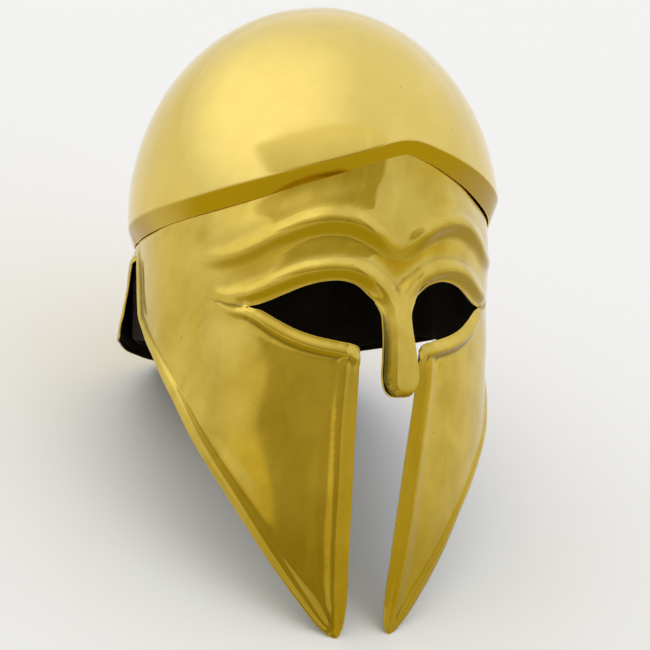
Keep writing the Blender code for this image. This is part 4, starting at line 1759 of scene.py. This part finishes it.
@dataclass(frozen=True)
class LightTent:
    """Studio tent of white cloth, with lamps outside that make it glow on every side.

    The biggest lamp stands on the wearer's right. The tent is open in front, and the dimmer,
    warmer room there shows in the metal as a large soft patch with a pale strip in it. Behind
    the helmet hangs plain paper, which is what the eye sees past the floor.
    """

    cloth: tuple[float, float, float] = (1.0, 1.02, 1.14)
    room: tuple[float, float, float] = (1.0, 0.91, 0.36)
    paper: tuple[float, float, float] = (0.86, 0.86, 0.84)
    cloth_glow: Fade = Fade(UPRIGHT, -0.3, 0.7, 0.81, 0.96)
    lamp: Patch = Patch((Fade((-100.0, 40.0), 0.5, 1.0, 0.0, 0.36), Fade(None, -0.05, 0.4)))
    # share of the lamp's glow that also fills the opening, which ends at three straight edges
    lamp_in_opening: float = 0.3
    opening: Patch = Patch((Fade((-149.0, -34.5), -0.03, 0.03, 1.0, 0.0),
                            Fade((154.0, 43.5), -0.03, 0.03, 1.0, 0.0),
                            Fade((98.0, 0.0), -0.03, 0.03, 1.0, 0.0)))
    # brightness of the room at the lower and at the upper elevation, and how it bends between
    dim: Span = (0.61, 0.98)
    dim_elevations: Span = (-30.0, 40.0)
    dim_power: float = 3.0
    # three degrees to each side
    strip: Patch = Patch((Fade((78.0, 0.0), -0.05236, 0.0),
                          Fade((78.0, 0.0), 0.0, 0.05236, 0.1, 0.0)))
    room_warmth: Fade = Fade(UPRIGHT, 0.6, -0.1, 0.35, 1.0)
    front_warmth: Patch = Patch((Fade((10.0, -38.0), -0.1, 0.7), Fade(None, 0.5, 0.05)))

    def glow(self, tree: bpy.types.NodeTree, direction: bpy.types.NodeSocket,
             inside: bpy.types.NodeSocket, rest: Rest) -> bpy.types.NodeSocket:
        """Brightness of the cloth with its lamp, and of the dimmer room in the opening.

        Args:
            tree: the world's nodes.
            direction: where the light comes from.
            inside: where the opening is, from 0 to 1.
            rest: how the helmet lies.

        Returns:
            The brightness.
        """
        share = add_node(tree, "VectorMath", {
            0: direction, 1: tuple(self.cloth_glow.aim(rest))}, operation="DOT_PRODUCT")
        climb = add_node(tree, "Math", {0: share.outputs["Value"]}, operation="ARCSINE")
        low, high = (math.radians(angle) for angle in self.dim_elevations)
        rise = add_node(tree, "MapRange", {
            "Value": climb.outputs[0], "From Min": low, "From Max": high})
        bent = add_node(tree, "Math", {0: rise.outputs[0], 1: self.dim_power},
                        operation="POWER")
        room = add_node(tree, "Math", {
            0: bent.outputs[0], 1: self.dim[1] - self.dim[0], 2: self.dim[0]},
            operation="MULTIPLY_ADD")
        room = add_node(tree, "Math", {
            0: room.outputs[0], 1: self.strip.add(tree, direction, rest)}, operation="ADD")
        dimming = add_node(tree, "Mix", {"Factor": inside, "A": 1.0, "B": room.outputs[0]},
                           data_type="FLOAT")
        cloth = add_node(tree, "Math", {
            0: self.cloth_glow.add(tree, direction, rest), 1: dimming.outputs["Result"]},
            operation="MULTIPLY")
        open_lamp = add_node(tree, "MapRange", {
            "Value": inside, "To Min": 1.0, "To Max": self.lamp_in_opening})
        return add_node(tree, "Math", {
            0: self.lamp.add(tree, direction, rest), 1: open_lamp.outputs[0],
            2: cloth.outputs[0]}, operation="MULTIPLY_ADD").outputs[0]

    def build(self, rest: Rest) -> bpy.types.World:
        """Make the world.

        Args:
            rest: how the helmet lies, since the tent is set up square to its face.

        Returns:
            The world.
        """
        world = bpy.data.worlds.new("light_tent")
        world.use_nodes = True
        tree = world.node_tree
        tree.nodes.clear()
        direction = add_node(tree, "TexCoord").outputs["Generated"]
        inside = self.opening.add(tree, direction, rest)
        in_room = add_node(tree, "Math", {
            0: inside, 1: self.room_warmth.add(tree, direction, rest)}, operation="MULTIPLY")
        warmth = add_node(tree, "Math", {
            0: in_room.outputs[0], 1: self.front_warmth.add(tree, direction, rest)},
            operation="MAXIMUM")
        tint = add_node(tree, "Mix", {
            "Factor": warmth.outputs[0], "A": (*self.cloth, 1.0), "B": (*self.room, 1.0)},
            data_type="RGBA")
        tent = add_node(tree, "Background", {
            "Color": tint.outputs["Result"],
            "Strength": self.glow(tree, direction, inside, rest)})
        paper = add_node(tree, "Background", {"Color": (*self.paper, 1.0), "Strength": 1.0})
        seen = add_node(tree, "LightPath").outputs["Is Camera Ray"]
        both = add_node(tree, "MixShader", {0: seen, 1: tent.outputs[0], 2: paper.outputs[0]})
        add_node(tree, "OutputWorld", {"Surface": both.outputs[0]})
        return world


@dataclass
class Studio:
    """Pale paper floor, light tent and the camera."""

    rest: Rest
    tent: LightTent = LightTent()
    # the camera's place, upright: azimuth, distance, and how far it stands aside and up
    camera_azimuth: float = -26.0
    camera_distance: float = 1.15
    aim_right: float = 0.00644
    aim_up: float = -0.0061
    lens: float = 103.8
    floor_size: float = 12.0

    def floor(self) -> None:
        """Lay the paper."""
        bpy.ops.mesh.primitive_plane_add(size=self.floor_size, location=(0, 0, 0))
        paper = bpy.context.object
        paper.name = "paper_floor"
        paper.data.materials.append(MattPaper().build())

    def camera(self) -> None:
        """Set the camera, level with the helmet's eyes and turned to the wearer's right."""
        turn = math.radians(self.camera_azimuth)
        back = Vector((math.sin(turn), -math.cos(turn), 0))
        up = Vector((0, 0, 1))
        right = up.cross(back)
        place = back * self.camera_distance + right * self.aim_right + up * self.aim_up
        upright = Matrix((right, up, back)).transposed().to_4x4()
        upright.translation = place
        data = bpy.data.cameras.new("camera")
        data.lens = self.lens
        camera = bpy.data.objects.new("camera", data)
        camera.matrix_world = self.rest.matrix() @ upright
        bpy.context.scene.collection.objects.link(camera)
        bpy.context.scene.camera = camera

    def build(self) -> None:
        """Set up the studio."""
        self.floor()
        self.camera()
        bpy.context.scene.world = self.tent.build(self.rest)
        bpy.context.scene.view_settings.view_transform = "Standard"


def main() -> None:
    """Build the helmet's pieces and the studio."""
    logging.basicConfig(level=logging.INFO, format="%(name)s: %(message)s")
    form = Form()
    bowl, face = SkullBowl(form).build(), FaceGuard(form, Relief(form)).build()
    rest = Rest.settle(face.plate.build()[0], bowl.plate.build()[0])
    log.info("leaned back %.2f degrees", math.degrees(rest.lean))
    bowl.place(rest, HandPolishedBrass("hand_polished_brass", tint=0.12).build())
    # the face guard's brass is darker and more saturated than the bowl's: painted shade from the
    # bowl's band over it
    face.place(rest, HandPolishedBrass("face_guard_brass_painted_shade", bright="#dcc15a",
                                       tarnish="#a6850c", painted_shade_colour="#a0820c").build())
    Lining(form).build().place(rest, DarkSuede().build())
    Studio(rest).build()


if __name__ == "__main__":
    main()
